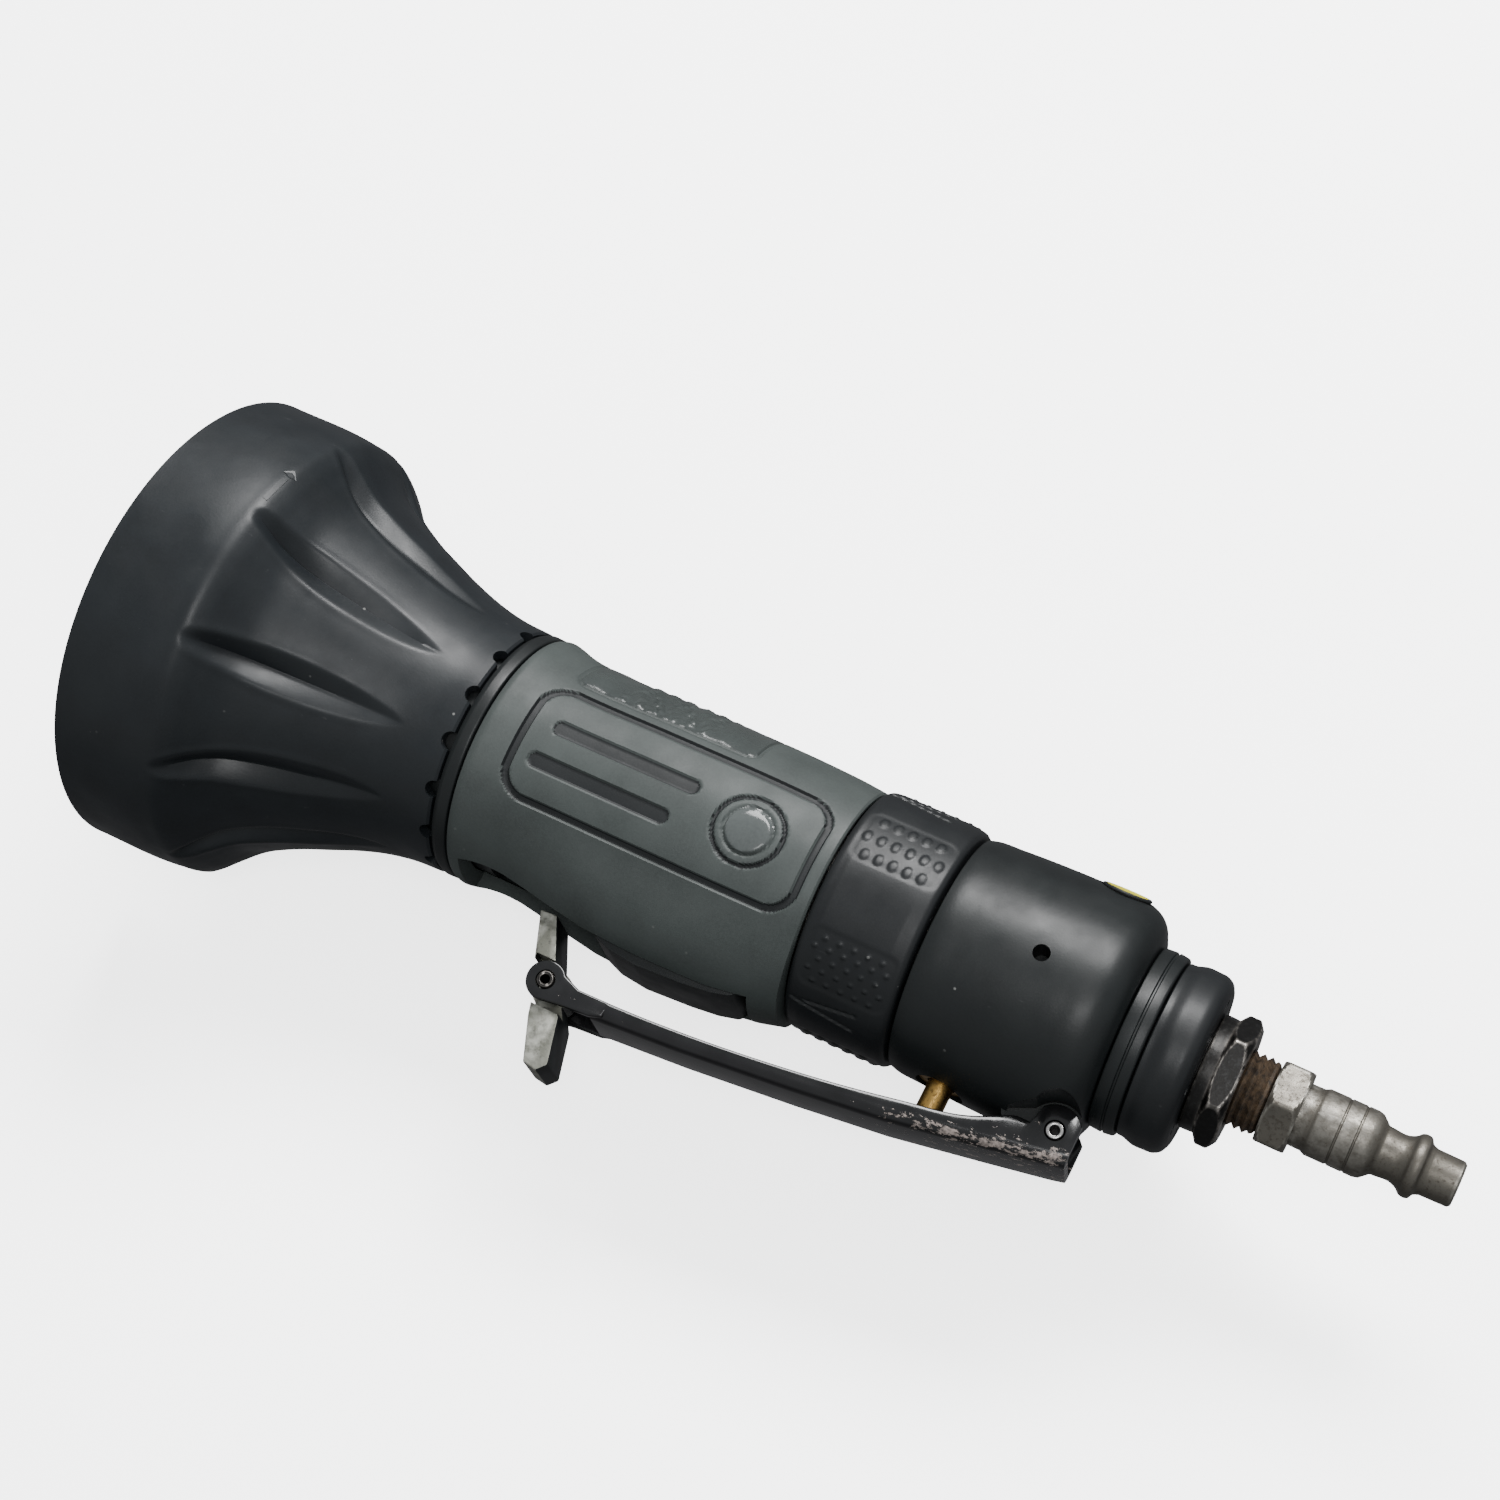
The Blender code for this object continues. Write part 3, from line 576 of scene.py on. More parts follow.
def guard_dents(x, degrees):
    """Leaf-shaped flutes pressed into the bell, deepest near the skirt."""
    total = np.zeros(np.broadcast(x, degrees).shape)
    s = np.clip((x - 13.5) / (50.5 - 13.5), 0.0, 1.0)
    half = 4.1 * np.sqrt(s) * (1.0 - s) ** 0.62 * 1.9
    depth = 3.6 * step_up(s, 0.0, 0.16) * (1.0 - s) ** 0.85
    local_r = np.interp(x, (13.5, 17.0, 26.5, 35.6, 48.1, 60.0), (43.5, 41.2, 33.6, 29.7, 25.3, 23.9))
    for k in range(DENT_COUNT):
        centre = DENT_TURN + DENT_PITCH * (k - 3)
        across = np.radians(apart(degrees, centre)) * local_r
        u = np.clip(np.abs(across) / np.maximum(half, 1e-3), 0.0, 1.0)
        groove = (1.0 - u) ** 1.25 * (1.0 + 0.25 * u)
        lip = np.exp(-((np.abs(across) - half - 0.5) / 0.7) ** 2) * 0.16
        total += -depth * groove + np.where(half > 0.3, lip * step_up(s, 0.0, 0.1) * (1 - s), 0.0)
    return total


def make_guard():
    outer = flowing([(-5.6, 44.3), (12.0, 43.62), (14.4, 43.2), (16.2, 41.9), (18.6, 39.4), (22.3, 35.9), (26.5,
            33.5),
                     (30.8, 31.5), (35.6, 29.6), (41.4, 27.3), (48.1, 25.25), (54.0, 24.2), (59.4, 23.88)], 0.6)
    inner = flowing([(52.3, 23.1), (47.6, 23.3), (40.5, 25.5), (29.6, 29.8), (20.6, 34.2), (14.6, 39.9), (11.5,
            41.4), (-5.6, 42.4)], 0.9)
    section = outer + [(59.8, 23.5), (59.8, 22.1), (59.6, 21.95), (52.5, 21.95), (52.4, 22.05)] + inner + [(-5.85,
            42.7), (-5.85, 44.05)]
    guard = turned("guard_bell", section, "guard_shell", 480, field=guard_dents)
    notches = [cutter_rod(1.7, 20.0, 26.0, radial(GUARD_REAR, NOTCH_TURN + 360.0 / NOTCH_COUNT * i))
               for i in range(NOTCH_COUNT)]
    carve(guard, *notches, cutter_box((-20.0, -60.0, -60.0), (OPEN_X, 60.0, OPEN_Z)))
    carry(guard, "guard", "guard_shell", "guard")
    # A plain raised arrow stands where the real guard has its turning mark.
    arrow = []
    for t in np.linspace(-1.0, 1.0, 25):
        arrow.append((t, -0.45, 0.45) if t < 0.62 else (t, -1.5 * (1.0 - t) / 0.38, 1.5 * (1.0 - t) / 0.38))
    points, faces = [], []
    for lift in (-0.3, 0.16):
        for t, low, high in arrow:
            for side in (low, high):
                x = 14.2 + side
                r = float(np.interp(x, (12.0, 14.4, 16.2, 18.6), (43.62, 43.2, 41.9, 39.4))) + lift
                angle = math.radians(24.0 + 6.0 * t)
                points.append((x, r * math.sin(angle), r * math.cos(angle)))
    n = len(arrow)
    for i in range(n - 1):
        a, b = 2 * i, 2 * i + 2
        faces += [(a, a + 1, b + 1, b), (2 * n + a, 2 * n + b, 2 * n + b + 1, 2 * n + a + 1),
                  (a, b, 2 * n + b, 2 * n + a), (a + 1, 2 * n + a + 1, 2 * n + b + 1, b + 1)]
    faces += [(0, 2 * n, 2 * n + 1, 1), (2 * n - 2, 2 * n - 1, 4 * n - 1, 4 * n - 2)]
    mark = make_mesh("guard_arrow", points, faces, "guard_shell")
    carry(smooth(outward(mark, True)), "guard", "guard_shell")


# ---------------------------------------------------------------- turned pieces in front

def make_front():
    carry(turned("neck_collar", rounded([(60.3, 23.5, 0.3), (60.3, 20.8), (63.2, 20.8), (63.2, 23.8, 0.5), (61.2,
            23.9, 0.6)], 0.2), "black_body"), "root", "black_body", "neck_ring")
    carry(turned("nose_cone", rounded([(57.5, 17.2), (49.2, 17.2), (49.2, 19.5, 0.5), (42.0, 18.0, 3.0), (34.0,
            16.0, 3.0), (30.0, 14.5, 3.0), (18.0, 11.0, 0.8),
                                        (18.0, 7.0), (43.7, 7.0), (43.7, 13.3), (57.5, 13.3)], 0.3), "dark_steel",
                                                96), "root", "dark_steel", "nose_housing")
    carry(turned("inner_clamp_flange", rounded([(10.0, 7.0), (8.2, 9.5), (7.0, 9.5), (7.0, 3.3), (10.0, 3.3)],
            0.3), "bright_steel", 96), "spindle", "bright_steel", "inner_flange")
    carry(turned("outer_clamp_flange", rounded([(6.7, 9.5), (5.5, 9.5), (4.0, 7.5), (4.0, 3.3), (6.7, 3.3)],
            0.3), "bright_steel", 96), "spindle", "bright_steel", "outer_flange")
    carry(hex_body("spindle_nut", 0.9, 3.7, 11.0, 3.3, 0.0, "dark_steel"), "spindle", "dark_steel", "wheel_nut")
    section = [(0.0, 0.0), (0.0, 2.4)]
    for i in range(20):
        x = 0.5 + 0.5 * i
        section += [(x, 3.0 if i % 2 else 2.55)]
    section += [(10.3, 2.6), (10.3, 5.7), (10.7, 6.0), (43.7, 6.0), (43.7, 5.0), (128.3, 5.0), (128.7, 4.6),
            (128.7, 0.0)]
    carry(turned("spindle_shaft", section, "bright_steel", 64, weld=True), "spindle", "bright_steel", "spindle")


def hex_body(name, front, rear, across, bore, corner_deg, material, chamfer=0.7, rows=10):
    """Hexagon ring with turned chamfers at both faces: corners fall back as on a real nut."""
    steps = 180
    degrees = np.arange(steps) * 360.0 / steps
    flat = across / 2.0
    corner = across / math.sqrt(3.0)
    local = (degrees - corner_deg) % 60.0 - 30.0
    reach = np.minimum(flat / np.cos(np.radians(local)), corner - 0.15)
    rings = []

    def ring(x, r):
        a = np.radians(degrees)
        rings.append(np.stack([np.full(steps, x), r * np.sin(a), r * np.cos(a)], -1))
    for t in np.linspace(0.0, 1.0, rows):
        x = front + (rear - front) * t
        depth = min(x - front, rear - x)
        ring(x, np.minimum(reach, flat - 0.12 + depth / max(chamfer, 0.01) * (corner - flat) + 0.02))
    ring(rear, np.full(steps, bore + 0.2))
    ring(rear - 0.2, np.full(steps, bore))
    ring(front + 0.2, np.full(steps, bore))
    ring(front, np.full(steps, bore + 0.2))
    return smooth(wrapped(name, np.array(rings), material), 24.0)


# ---------------------------------------------------------------- grip

SLOT_EDGE = ((63.5, 75.0, 84.2, 92.4, 102.0, 116.9, 125.4, 130.0), (0.0, 0.7, 2.2, 3.2, 3.55, 3.3, 2.4, 1.6))
PLATE_X = (70.6, 126.9)
PLATE_DEG = (-29.8, 26.8)
WINDOW_X = (73.0, 109.0)
WINDOW_DEG = 34.5
LINE_HALF = 0.72
GRIP_R = 22.45
GRIP_SKIN_R = 21.2        # faces further out than this are the sleeve's outside
BOSS_X = 115.0
BOSS_RING_R = 6.3


def round_box(u, v, half_u, half_v, corner):
    """Signed distance to a rounded rectangle, negative inside."""
    du = np.abs(u) - (half_u - corner)
    dv = np.abs(v) - (half_v - corner)
    return np.hypot(np.maximum(du, 0.0), np.maximum(dv, 0.0)) + np.minimum(np.maximum(du, dv), 0.0) - corner


def plate_distance(x, degrees):
    v = np.radians(apart(degrees, sum(PLATE_DEG) / 2)) * GRIP_R
    half_v = math.radians(PLATE_DEG[1] - PLATE_DEG[0]) * GRIP_R / 2
    return round_box(x - sum(PLATE_X) / 2, v, (PLATE_X[1] - PLATE_X[0]) / 2, half_v, 5.0)


def bars_distance(x, degrees):
    """Two plain bars on the plate, in place of the lettering."""
    arc_mm = np.radians(apart(degrees, 0.0)) * GRIP_R
    upper = round_box(x - 89.5, arc_mm - 2.6, 14.5, 1.5, 1.5)
    lower = round_box(x - 87.5, arc_mm + 4.4, 14.0, 1.5, 1.5)
    return np.minimum(upper, lower)


def boss_distance(x, degrees):
    arc_mm = np.radians(apart(degrees, 0.0)) * GRIP_R
    return np.hypot(x - BOSS_X, arc_mm + 0.5)


def window_distance(x, degrees):
    v = np.radians(apart(degrees, 90.0)) * GRIP_R
    half_v = math.radians(90.0 - WINDOW_DEG) * GRIP_R
    return round_box(x - sum(WINDOW_X) / 2, v, (WINDOW_X[1] - WINDOW_X[0]) / 2, half_v, 2.2)


def groove(distance, half, depth):
    return -depth * (1.0 - step_up(np.abs(distance), half - 0.25, half + 0.1))


def grip_field(x, degrees):
    """Everything moulded into the sleeve, added to its radius."""
    d = apart(degrees, 0.0)
    extra = np.interp(x, *SLOT_EDGE)
    below = np.abs(apart(degrees, -90.0))
    r = extra * (1.0 - step_up(below, 17.0, 58.0))
    r = r + groove(plate_distance(x, d), LINE_HALF, 0.55)
    r = r - 0.45 * (1.0 - step_up(bars_distance(x, d), -0.25, 0.1))
    boss = boss_distance(x, d)
    r = r + groove(boss - BOSS_RING_R, 0.45, 0.5)
    r = r - 0.35 * (1.0 - step_up(np.abs(boss - 4.35), 0.15, 0.45))
    dome = np.clip(1.0 - (boss / 4.2) ** 2, 0.0, 1.0)
    r = r + 0.38 * np.sqrt(dome)
    window = window_distance(x, d)
    r = r - 0.35 * (1.0 - step_up(np.abs(window), 0.12, 0.5))
    inside = 1.0 - step_up(window, -1.2, -0.5)
    v = np.radians(apart(degrees, 90.0)) * GRIP_R
    # A generic leathery pattern: two crossing waves bent by slower ones.
    bent = v + 1.3 * np.sin(0.9 * x + 0.5 * v) + 0.7 * np.sin(2.3 * x - 0.8 * v)
    wave = np.abs(np.sin(1.15 * bent + 0.35 * x)) * np.abs(np.sin(0.95 * x + 0.9 * np.sin(0.7 * v)))
    rows = inside * step_up(x, 80.5, 83.0) * (1.0 - step_up(x, 98.5, 101.0))
    r = r + rows * (0.42 * wave - 0.12)
    # Plain wedge facets at each end of the textured stretch.
    for start, way in ((74.0, 1.0), (104.5, -1.0)):
        along = (x - start) * way
        tri = np.abs((v / 9.0) % 2.0 - 1.0)
        facet = np.clip(1.0 - np.abs(along - 2.6) / 2.6, 0.0, 1.0) * tri
        r = r + inside * 0.3 * facet
    return r


def make_grip():
    outer = flowing([(63.7, 23.75), (64.6, 24.0), (66.0, 23.78), (68.0, 23.2), (70.5, 22.72), (76.0, 22.45),
            (96.0, 22.5),
                     (118.0, 22.35), (126.0, 21.95), (129.6, 21.6)], 0.33)
    section = outer + [(129.95, 21.3), (130.0, 20.85), (63.55, 20.85), (63.5, 23.4)]
    sleeve = turned("grip_skin", section, "soft_grip", 460, field=grip_field, keep=len(outer))
    slot = prism("cutter_slot", rounded([(66.0, -10.0, 0), (66.0, -40.0, 0), (124.5, -40.0, 0), (124.5, -10.0,
            0)], 0.0), -7.5, 7.5, "black_body")
    carve(sleeve, slot)

    def dark(x, degrees, r):
        line = np.abs(plate_distance(x, degrees)) < LINE_HALF
        bars = bars_distance(x, degrees) < -0.12
        ring = np.abs(boss_distance(x, degrees) - BOSS_RING_R) < 0.4
        return (line | bars | ring) & (r > GRIP_SKIN_R)

    def pad(x, degrees, r):
        return (window_distance(x, degrees) < -0.3) & (r > GRIP_SKIN_R)
    paint_faces(sleeve, "thumb_pad", pad)
    paint_faces(sleeve, "grip_line", dark)
    sleeve.data.materials.append(MATERIALS["boss_gloss"])
    gloss = len(sleeve.data.materials) - 1
    for polygon in sleeve.data.polygons:
        c = polygon.center / MM
        if 110.0 < c.x < 120.0 and c.z > 20.0 and math.hypot(c.x - BOSS_X, math.atan2(c.y, c.z) * GRIP_R) < 4.2:
            polygon.material_index = gloss
    carry(sleeve, "root", "soft_grip", "grip_sleeve")


def make_motor_housing():
    section = rounded([(129.7, 20.5), (60.2, 20.5), (60.0, 21.5), (52.4, 21.5), (52.4, 20.2), (50.6, 20.2), (50.6,
            21.5),
                       (49.5, 21.5), (49.5, 17.5), (129.7, 17.5)], 0.2)
    housing = turned("housing_tube", section, "black_body", 128)
    keel = rounded([(92.9, -17.9, 0.1), (93.3, -21.4, 0.3), (95.0, -24.7, 1.5), (98.6, -26.0, 2.0), (104.0,
            -26.55, 4.0), (113.0, -25.95, 6.0),
                    (118.0, -25.35, 6.0), (121.9, -24.35, 1.5), (123.4, -21.2, 0.8), (123.4, -17.9, 0.1)], 0.4)
    rail = prism("keel_form", keel, -7.15, 7.15, "black_body", 0.9, 4)
    carve(housing, rail, operation="UNION")
    ball_hole = cutter_rod(BALL_HOLE_R, 18.6, 23.0, radial(BALL_X, BALL_TURN), 24)
    carve(housing, cutter_box((70.0, -30.0, -6.5), (92.5, -18.6, 6.5)), ball_hole)
    carry(housing, "root", "black_body", "motor_housing")


# ---------------------------------------------------------------- reversing ring

REVERSE_TURNS = (0.0, 123.0, -123.0)      # three like sets of pads round the ring


def bumps(x, degrees, spots, half_x, half_v, height, base_r, power=1.0):
    total = np.zeros(np.broadcast(x, degrees).shape)
    for sx, angle in spots:
        v = np.radians(apart(degrees, angle)) * base_r
        q = ((x - sx) / half_x) ** 2 + (v / half_v) ** 2
        total += height * np.clip(1.0 - q, 0.0, 1.0) ** power
    return total


def reverse_spots():
    large, small = [], []
    for turn in REVERSE_TURNS:
        for angle, count, start, end in ((29.8, 5, 134.9, 145.5), (19.5, 6, 133.6, 146.9), (10.4, 5, 134.8, 145.4)):
            large += [(x, angle + turn) for x in np.linspace(start, end, count)]
        for row, angle in enumerate((-30.2, -34.8, -40.1, -45.4, -50.8)):
            count = 6 if row % 2 else 5
            middle = 140.2
            small += [(middle + 2.66 * (i - (count - 1) / 2), angle + turn) for i in range(count)]
    return large, small


def reverse_field(x, degrees):
    r = np.zeros(np.broadcast(x, degrees).shape)
    large, small = reverse_spots()
    r += bumps(x, degrees, large, 0.8, 1.15, 0.22, 22.7, 0.35)
    r += bumps(x, degrees, small, 0.5, 0.5, 0.24, 22.7, 0.6)
    for turn in REVERSE_TURNS:
        for middle, half in ((20.8, 14.5), (-39.9, 14.5)):
            v = np.radians(apart(degrees, middle + turn)) * 22.6
            pad = round_box(x - 140.2, v, 8.2, math.radians(half) * 22.6, 2.0)
            r -= 0.12 * (1.0 - step_up(pad, -0.8, 0.3))
        # V-shaped pointer between the pads
        v = np.radians(apart(degrees, 58.0 + turn)) * 22.6
        stroke = np.abs(np.abs(v) - np.clip((x - 131.6) * 0.16, 0.0, 2.0))
        along = step_up(x, 131.2, 132.0) * (1.0 - step_up(x, 143.4, 144.2))
        r -= 0.3 * along * (1.0 - step_up(stroke, 0.15, 0.45))
    return r


def make_reversing():
    outer = flowing([(130.7, 21.9), (131.2, 22.25), (132.5, 22.5), (136.0, 22.75), (140.0, 22.9), (144.0, 22.75),
                     (147.5, 22.4), (148.7, 22.1), (149.2, 21.7)], 0.26)
    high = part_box("reverse_ring")[1]
    section = [(x, min(r, high.y / MM - 0.31)) for x, r in outer] + [(149.4, 21.3), (149.4, 17.95), (130.5,
            17.95), (130.5, 21.5)]
    carry(turned("reverse_sleeve", section, "ring_rubber", 540, field=reverse_field, keep=len(outer)),
            "reverse_ring", "ring_rubber", "reverse_ring")


# ---------------------------------------------------------------- rear housing

LABEL_X = 175.3
LABEL_TURN = 68.0


def make_rear_housing():
    outer = flowing([(150.2, 21.35), (151.0, 21.6), (156.0, 22.0), (162.0, 22.3), (170.0, 22.48), (175.0, 22.5),
            (178.4, 22.38),
                     (180.6, 21.9), (182.3, 21.0), (183.5, 19.7), (184.3, 18.0)], 0.5)
    section = outer + [(184.5, 17.5), (184.5, 9.4), (169.7, 9.4), (169.7, 5.2), (158.5, 5.2), (158.5, 0.0),
            (150.0, 0.0), (150.0, 21.0)]
    housing = turned("back_body", section, "black_body", 360, weld=True)
    lug = rounded([(171.6, -14.0, 0), (171.6, -22.6, 2.0), (175.6, -24.3, 1.5), (183.2, -24.5, 0.8), (184.2,
            -23.6, 0.6), (184.2, -14.0, 0)], 0.4)
    carve(housing, prism("lug_form", lug, -5.6, 5.6, "black_body"), operation="UNION")
    ear_room = arc(LEVER_PIVOT, 5.2, -60.0, 150.0, 30) + [(172.6, -21.2), (172.6, -32.0), (190.0, -32.0)]
    cuts = [prism("ear_room", ear_room, 5.3, 30.0, "black_body"), prism("ear_room", ear_room, -30.0, -5.3,
            "black_body"),
            cutter_rod(PIN_HOLE_R, -20.0, 20.0, Matrix.Translation((*LEVER_PIVOT, 0.0)), 32)]
    carve(housing, *cuts)
    across_valve = Matrix.Translation((VALVE_X, 0, 0)) @ Matrix.Rotation(math.radians(90.0), 4, "X")
    carve(housing, cutter_rod(5.6, -11.0, 6.0, across_valve, 48))
    carve(housing, cutter_rod(4.5, 11.7, 30.0, across_valve, 48))
    carve(housing, cutter_rod(1.5, 17.0, 26.0, radial(VENT_X, VENT_TURN), 40),
          cutter_rod(4.85, 21.75, 25.0, radial(LABEL_X, LABEL_TURN), 64))
    carry(housing, "root", "black_body", "rear_housing")
    # Yellow disc with a dark rim, without its lettering.
    section = [(22.2, 0.0), (22.2, 4.3), (22.3, 4.5), (22.55, 4.5), (22.75, 4.35), (22.75, 3.75), (22.62, 3.6),
            (22.62, 0.0)]
    disc = disc_on_axis("yellow_disc", section, LABEL_X, LABEL_TURN, "yellow_label")
    paint = disc.data.materials
    paint.append(MATERIALS["grip_line"])
    centre = radial(LABEL_X, LABEL_TURN) @ Vector((0.0, 0.0, 22.6))
    for polygon in disc.data.polygons:
        if (polygon.center / MM - centre).length > 3.72:
            polygon.material_index = 1
    carry(disc, "root", "yellow_label", "label_disc")


def disc_on_axis(name, section, x, degrees, material, steps=64):
    """Section of (height, radius) turned about a line that stands out of the axis."""
    section = np.array(section)
    a = np.arange(steps) * math.tau / steps
    rings = np.stack([section[:, 1:] * np.cos(a), section[:, 1:] * np.sin(a), np.repeat(section[:, :1], steps,
            1)], -1)
    matrix = np.array(radial(x, degrees))
    rings = rings @ matrix[:3, :3].T + matrix[:3, 3]
    return smooth(wrapped(name, rings, material, weld=True))


# ---------------------------------------------------------------- exhaust and inlet

def make_exhaust():
    bore = 9.35
    carry(turned("collar_band", rounded([(184.85, 16.4, 0.25), (187.0, 16.55, 0.1), (187.15, 16.2, 0.05),
            (187.45, 16.2, 0.05), (187.6, 16.55, 0.1),
                                            (189.4, 16.3, 0.5), (189.4, bore), (184.85,
                                                    bore)], 0.2), "black_body", 160), "root", "black_body",
                                                            "exhaust_collar")
    outside = flowing([(198.1, 14.3), (197.5, 15.4), (196.4, 16.1), (194.6, 16.3), (192.6, 16.28), (191.5, 15.95),
            (190.9, 15.76), (189.9, 15.7)], 0.35)
    section = outside + [(189.7, 15.5), (189.7, 14.3), (195.7, 14.3), (195.7, bore), (198.2, bore), (198.2, 14.0)]
    cap = turned("deflector_cap", section, "ring_rubber", 192)
    carve(cap, *[cutter_rod(1.1, 190.0, 200.0, Matrix.Rotation(math.radians(-10.0 - 45.0 * i), 4,
            "X") @ Matrix.Translation((0.0, 0.0, 12.2))
                            @ Matrix.Rotation(math.radians(90.0), 4, "Y"), 32) for i in range(8)])
    carry(cap, "exhaust_deflector", "ring_rubber", "exhaust_deflector")


def make_inlet():
    section = rounded([(201.2, 10.2, 0.5), (199.6, 10.3, 0.3), (198.5, 10.3, 0.3), (198.5, 9.0), (177.0, 9.0),
            (177.0, 7.4), (174.6, 7.4),
                       (174.6, 9.0), (170.0, 9.0), (170.0, 5.2), (193.7, 5.2), (193.7, 7.2), (201.2, 7.2)], 0.2)
    carry(turned("inlet_neck", section, "dark_steel", 128), "root", "dark_steel")
    carry(hex_body("inlet_hex", 201.0, 205.1, 20.6, 7.2, 20.0, "dark_steel", 1.1, 18), "root", "dark_steel",
            "inlet_bushing")


def make_plug():
    """Coupler plug in three visible stretches: the tapered thread, the hexagon and the nose."""
    pitch = 1.41
    section = []
    for i, x in enumerate(np.arange(194.2, 209.6, pitch / 4)):
        taper = 6.9 - (210.0 - x) * 0.03
        section.append((x, taper - (0.0, 0.35, 0.75, 0.35)[i % 4]))
    section += [(209.9, 6.3), (210.3, 5.6), (210.3, 2.6), (194.0, 2.6), (194.0, 5.4)]
    carry(turned("plug_thread", section, "thread_iron", 96), "root", "iron")
    carry(hex_body("plug_hex", 210.4, 215.8, 14.3, 2.6, -15.0, "zinc", 0.9, 18), "root", "zinc")
    nose = flowing([(230.0, 4.32), (233.5, 4.3), (234.4, 4.75), (235.1, 5.4), (235.9, 5.6), (236.7, 5.4), (237.3,
            4.5), (238.2, 4.12)], 0.25)
    outer = [(215.6, 5.5), (218.1, 5.55), (218.4, 5.7), (218.9, 5.95), (222.4, 5.95), (222.55, 5.8), (222.75,
            5.8), (222.9, 5.95),
             (225.3, 5.95), (225.45, 5.8), (225.65, 5.8), (225.8, 5.95), (227.3, 5.95), (228.3, 5.7), (229.3,
                     4.8), (229.7, 4.4)]
    outer += nose + [(242.4, 4.05), (242.9, 4.0), (243.3, 3.6), (243.3, 2.9), (243.0, 2.6), (215.6, 2.6)]
    carry(turned("plug_nose", outer, "zinc", 128), "root", "zinc", "air_plug")


# ---------------------------------------------------------------- lever

WEB = [(101.0, -38.0), (118.0, -36.6), (138.0, -34.4), (155.0, -32.2), (172.0, -29.1), (183.0, -27.0), (186.2, -26.2)]
TOP = [(97.5, -34.6), (108.0, -34.2), (120.0, -33.3), (134.0, -31.7), (146.0, -29.9), (156.0, -28.0), (167.0,
        -25.6), (174.5, -22.0)]
SHEET = 1.5
FOLD = 2.4


def make_lever():
    """Pressed channel with a rolled fold along each lower edge, ears for both pins."""
    web_x, web_y = np.array(WEB).T
    stations = np.arange(101.2, 185.6, 0.8)
    top = flowing(TOP, 0.5)
    top_x, top_y = np.array(top).T
    ear = np.array(arc(LEVER_PIVOT, 4.6, 0.0, 140.0, 30))
    rings = []
    for x in stations:
        bottom = float(np.interp(x, web_x, web_y))
        high = float(np.interp(x, top_x, top_y))
        if x > ear[:, 0].min():
            dx = x - LEVER_PIVOT[0]
            round_top = LEVER_PIVOT[1] + math.sqrt(max(0.0, 4.6**2 - dx * dx)) if abs(dx) < 4.6 else bottom + 1.8
            high = round_top if x > 177.9 else max(high, float(np.interp(x, (174.5, 177.9), (-22.0, -18.7))))
        high = max(high, bottom + 2.2)
        rings.append(channel_ring(x, bottom, high))
    points = np.array(rings)
    k, m, _ = points.shape
    faces = [(i * m + j, (i + 1) * m + j, (i + 1) * m + (j + 1) % m,
            i * m + (j + 1) % m) for i in range(k - 1) for j in range(m)]
    faces += end_caps(k, m)
    channel = make_mesh("channel_body", points.reshape(-1, 3), faces, "lever_enamel")
    outward(channel)
    # Front cheeks that reach past the fork to the lock-off's pin
    cheek = [(103.5, -37.2), (103.5, -34.45)] + [(97.5, -34.6)] + arc(LOCK_PIVOT, 3.6, 35.0, 270.0, 30) + [(96.0,
            -38.4), (101.0, -38.0)]
    parts = [prism("cheek", cheek, low, low + SHEET, "lever_enamel", 0.35) for low in (-LEVER_HALF,
            LEVER_HALF - SHEET)]
    carve(channel, *parts, operation="UNION", solver="EXACT")
    holes = [cutter_rod(PIN_HOLE_R, -20.0, 20.0, Matrix.Translation((*at, 0.0)), 40) for at in (LEVER_PIVOT,
            LOCK_PIVOT)]
    carve(channel, *holes, solver="EXACT")
    smooth(channel, 38.0)
    wear = channel.data.attributes.new("wear", "FLOAT", "POINT")
    spots = np.zeros(len(channel.data.vertices) * 3)
    channel.data.vertices.foreach_get("co", spots)
    spots = spots.reshape(-1, 3) / MM
    low_edge = np.interp(spots[:, 0], web_x, web_y)
    near_fold = 1.0 - step_up(np.abs(spots[:, 1] - low_edge - 1.2), 0.6, 2.0)
    rear = step_up(spots[:, 0], 138.0, 168.0)
    value = near_fold * (0.05 + 0.85 * rear)
    wear.data.foreach_set("value", value.astype(np.float32))
    channel.name = "lever_channel"
    carry(channel, "lever", "lever_enamel", "throttle_lever")


def channel_ring(x, bottom, high):
    """Section of the channel across the tool at one x, as a closed loop of points."""
    outer_r, inner_r = FOLD, FOLD - SHEET
    half = LEVER_HALF
    loop = []
    for side in (1, -1):
        centre = (side * (half - outer_r), bottom + outer_r)
        corner = [(centre[0] + side * outer_r * math.sin(a), centre[1] - outer_r * math.cos(a)) for a in np.linspace(0, math.pi / 2, 7)]
        wall_top = max(high, bottom + outer_r + 0.2)
        top = [(side * half, wall_top - 0.45), (side * (half - 0.2), wall_top - 0.1), (side * (half - SHEET / 2),
                wall_top),
               (side * (half - SHEET + 0.2), wall_top - 0.1), (side * (half - SHEET), wall_top - 0.45)]
        inner = [(centre[0] + side * inner_r * math.sin(a), centre[1] - inner_r * math.cos(a)) for a in np.linspace(math.pi / 2, 0, 7)]
        loop.append((corner, top, inner))
    right = loop[0][0] + loop[0][1] + loop[0][2]
    left = loop[1][0] + loop[1][1] + loop[1][2]
    whole = right + left[::-1]
    return [(x, y, z) for z, y in whole]


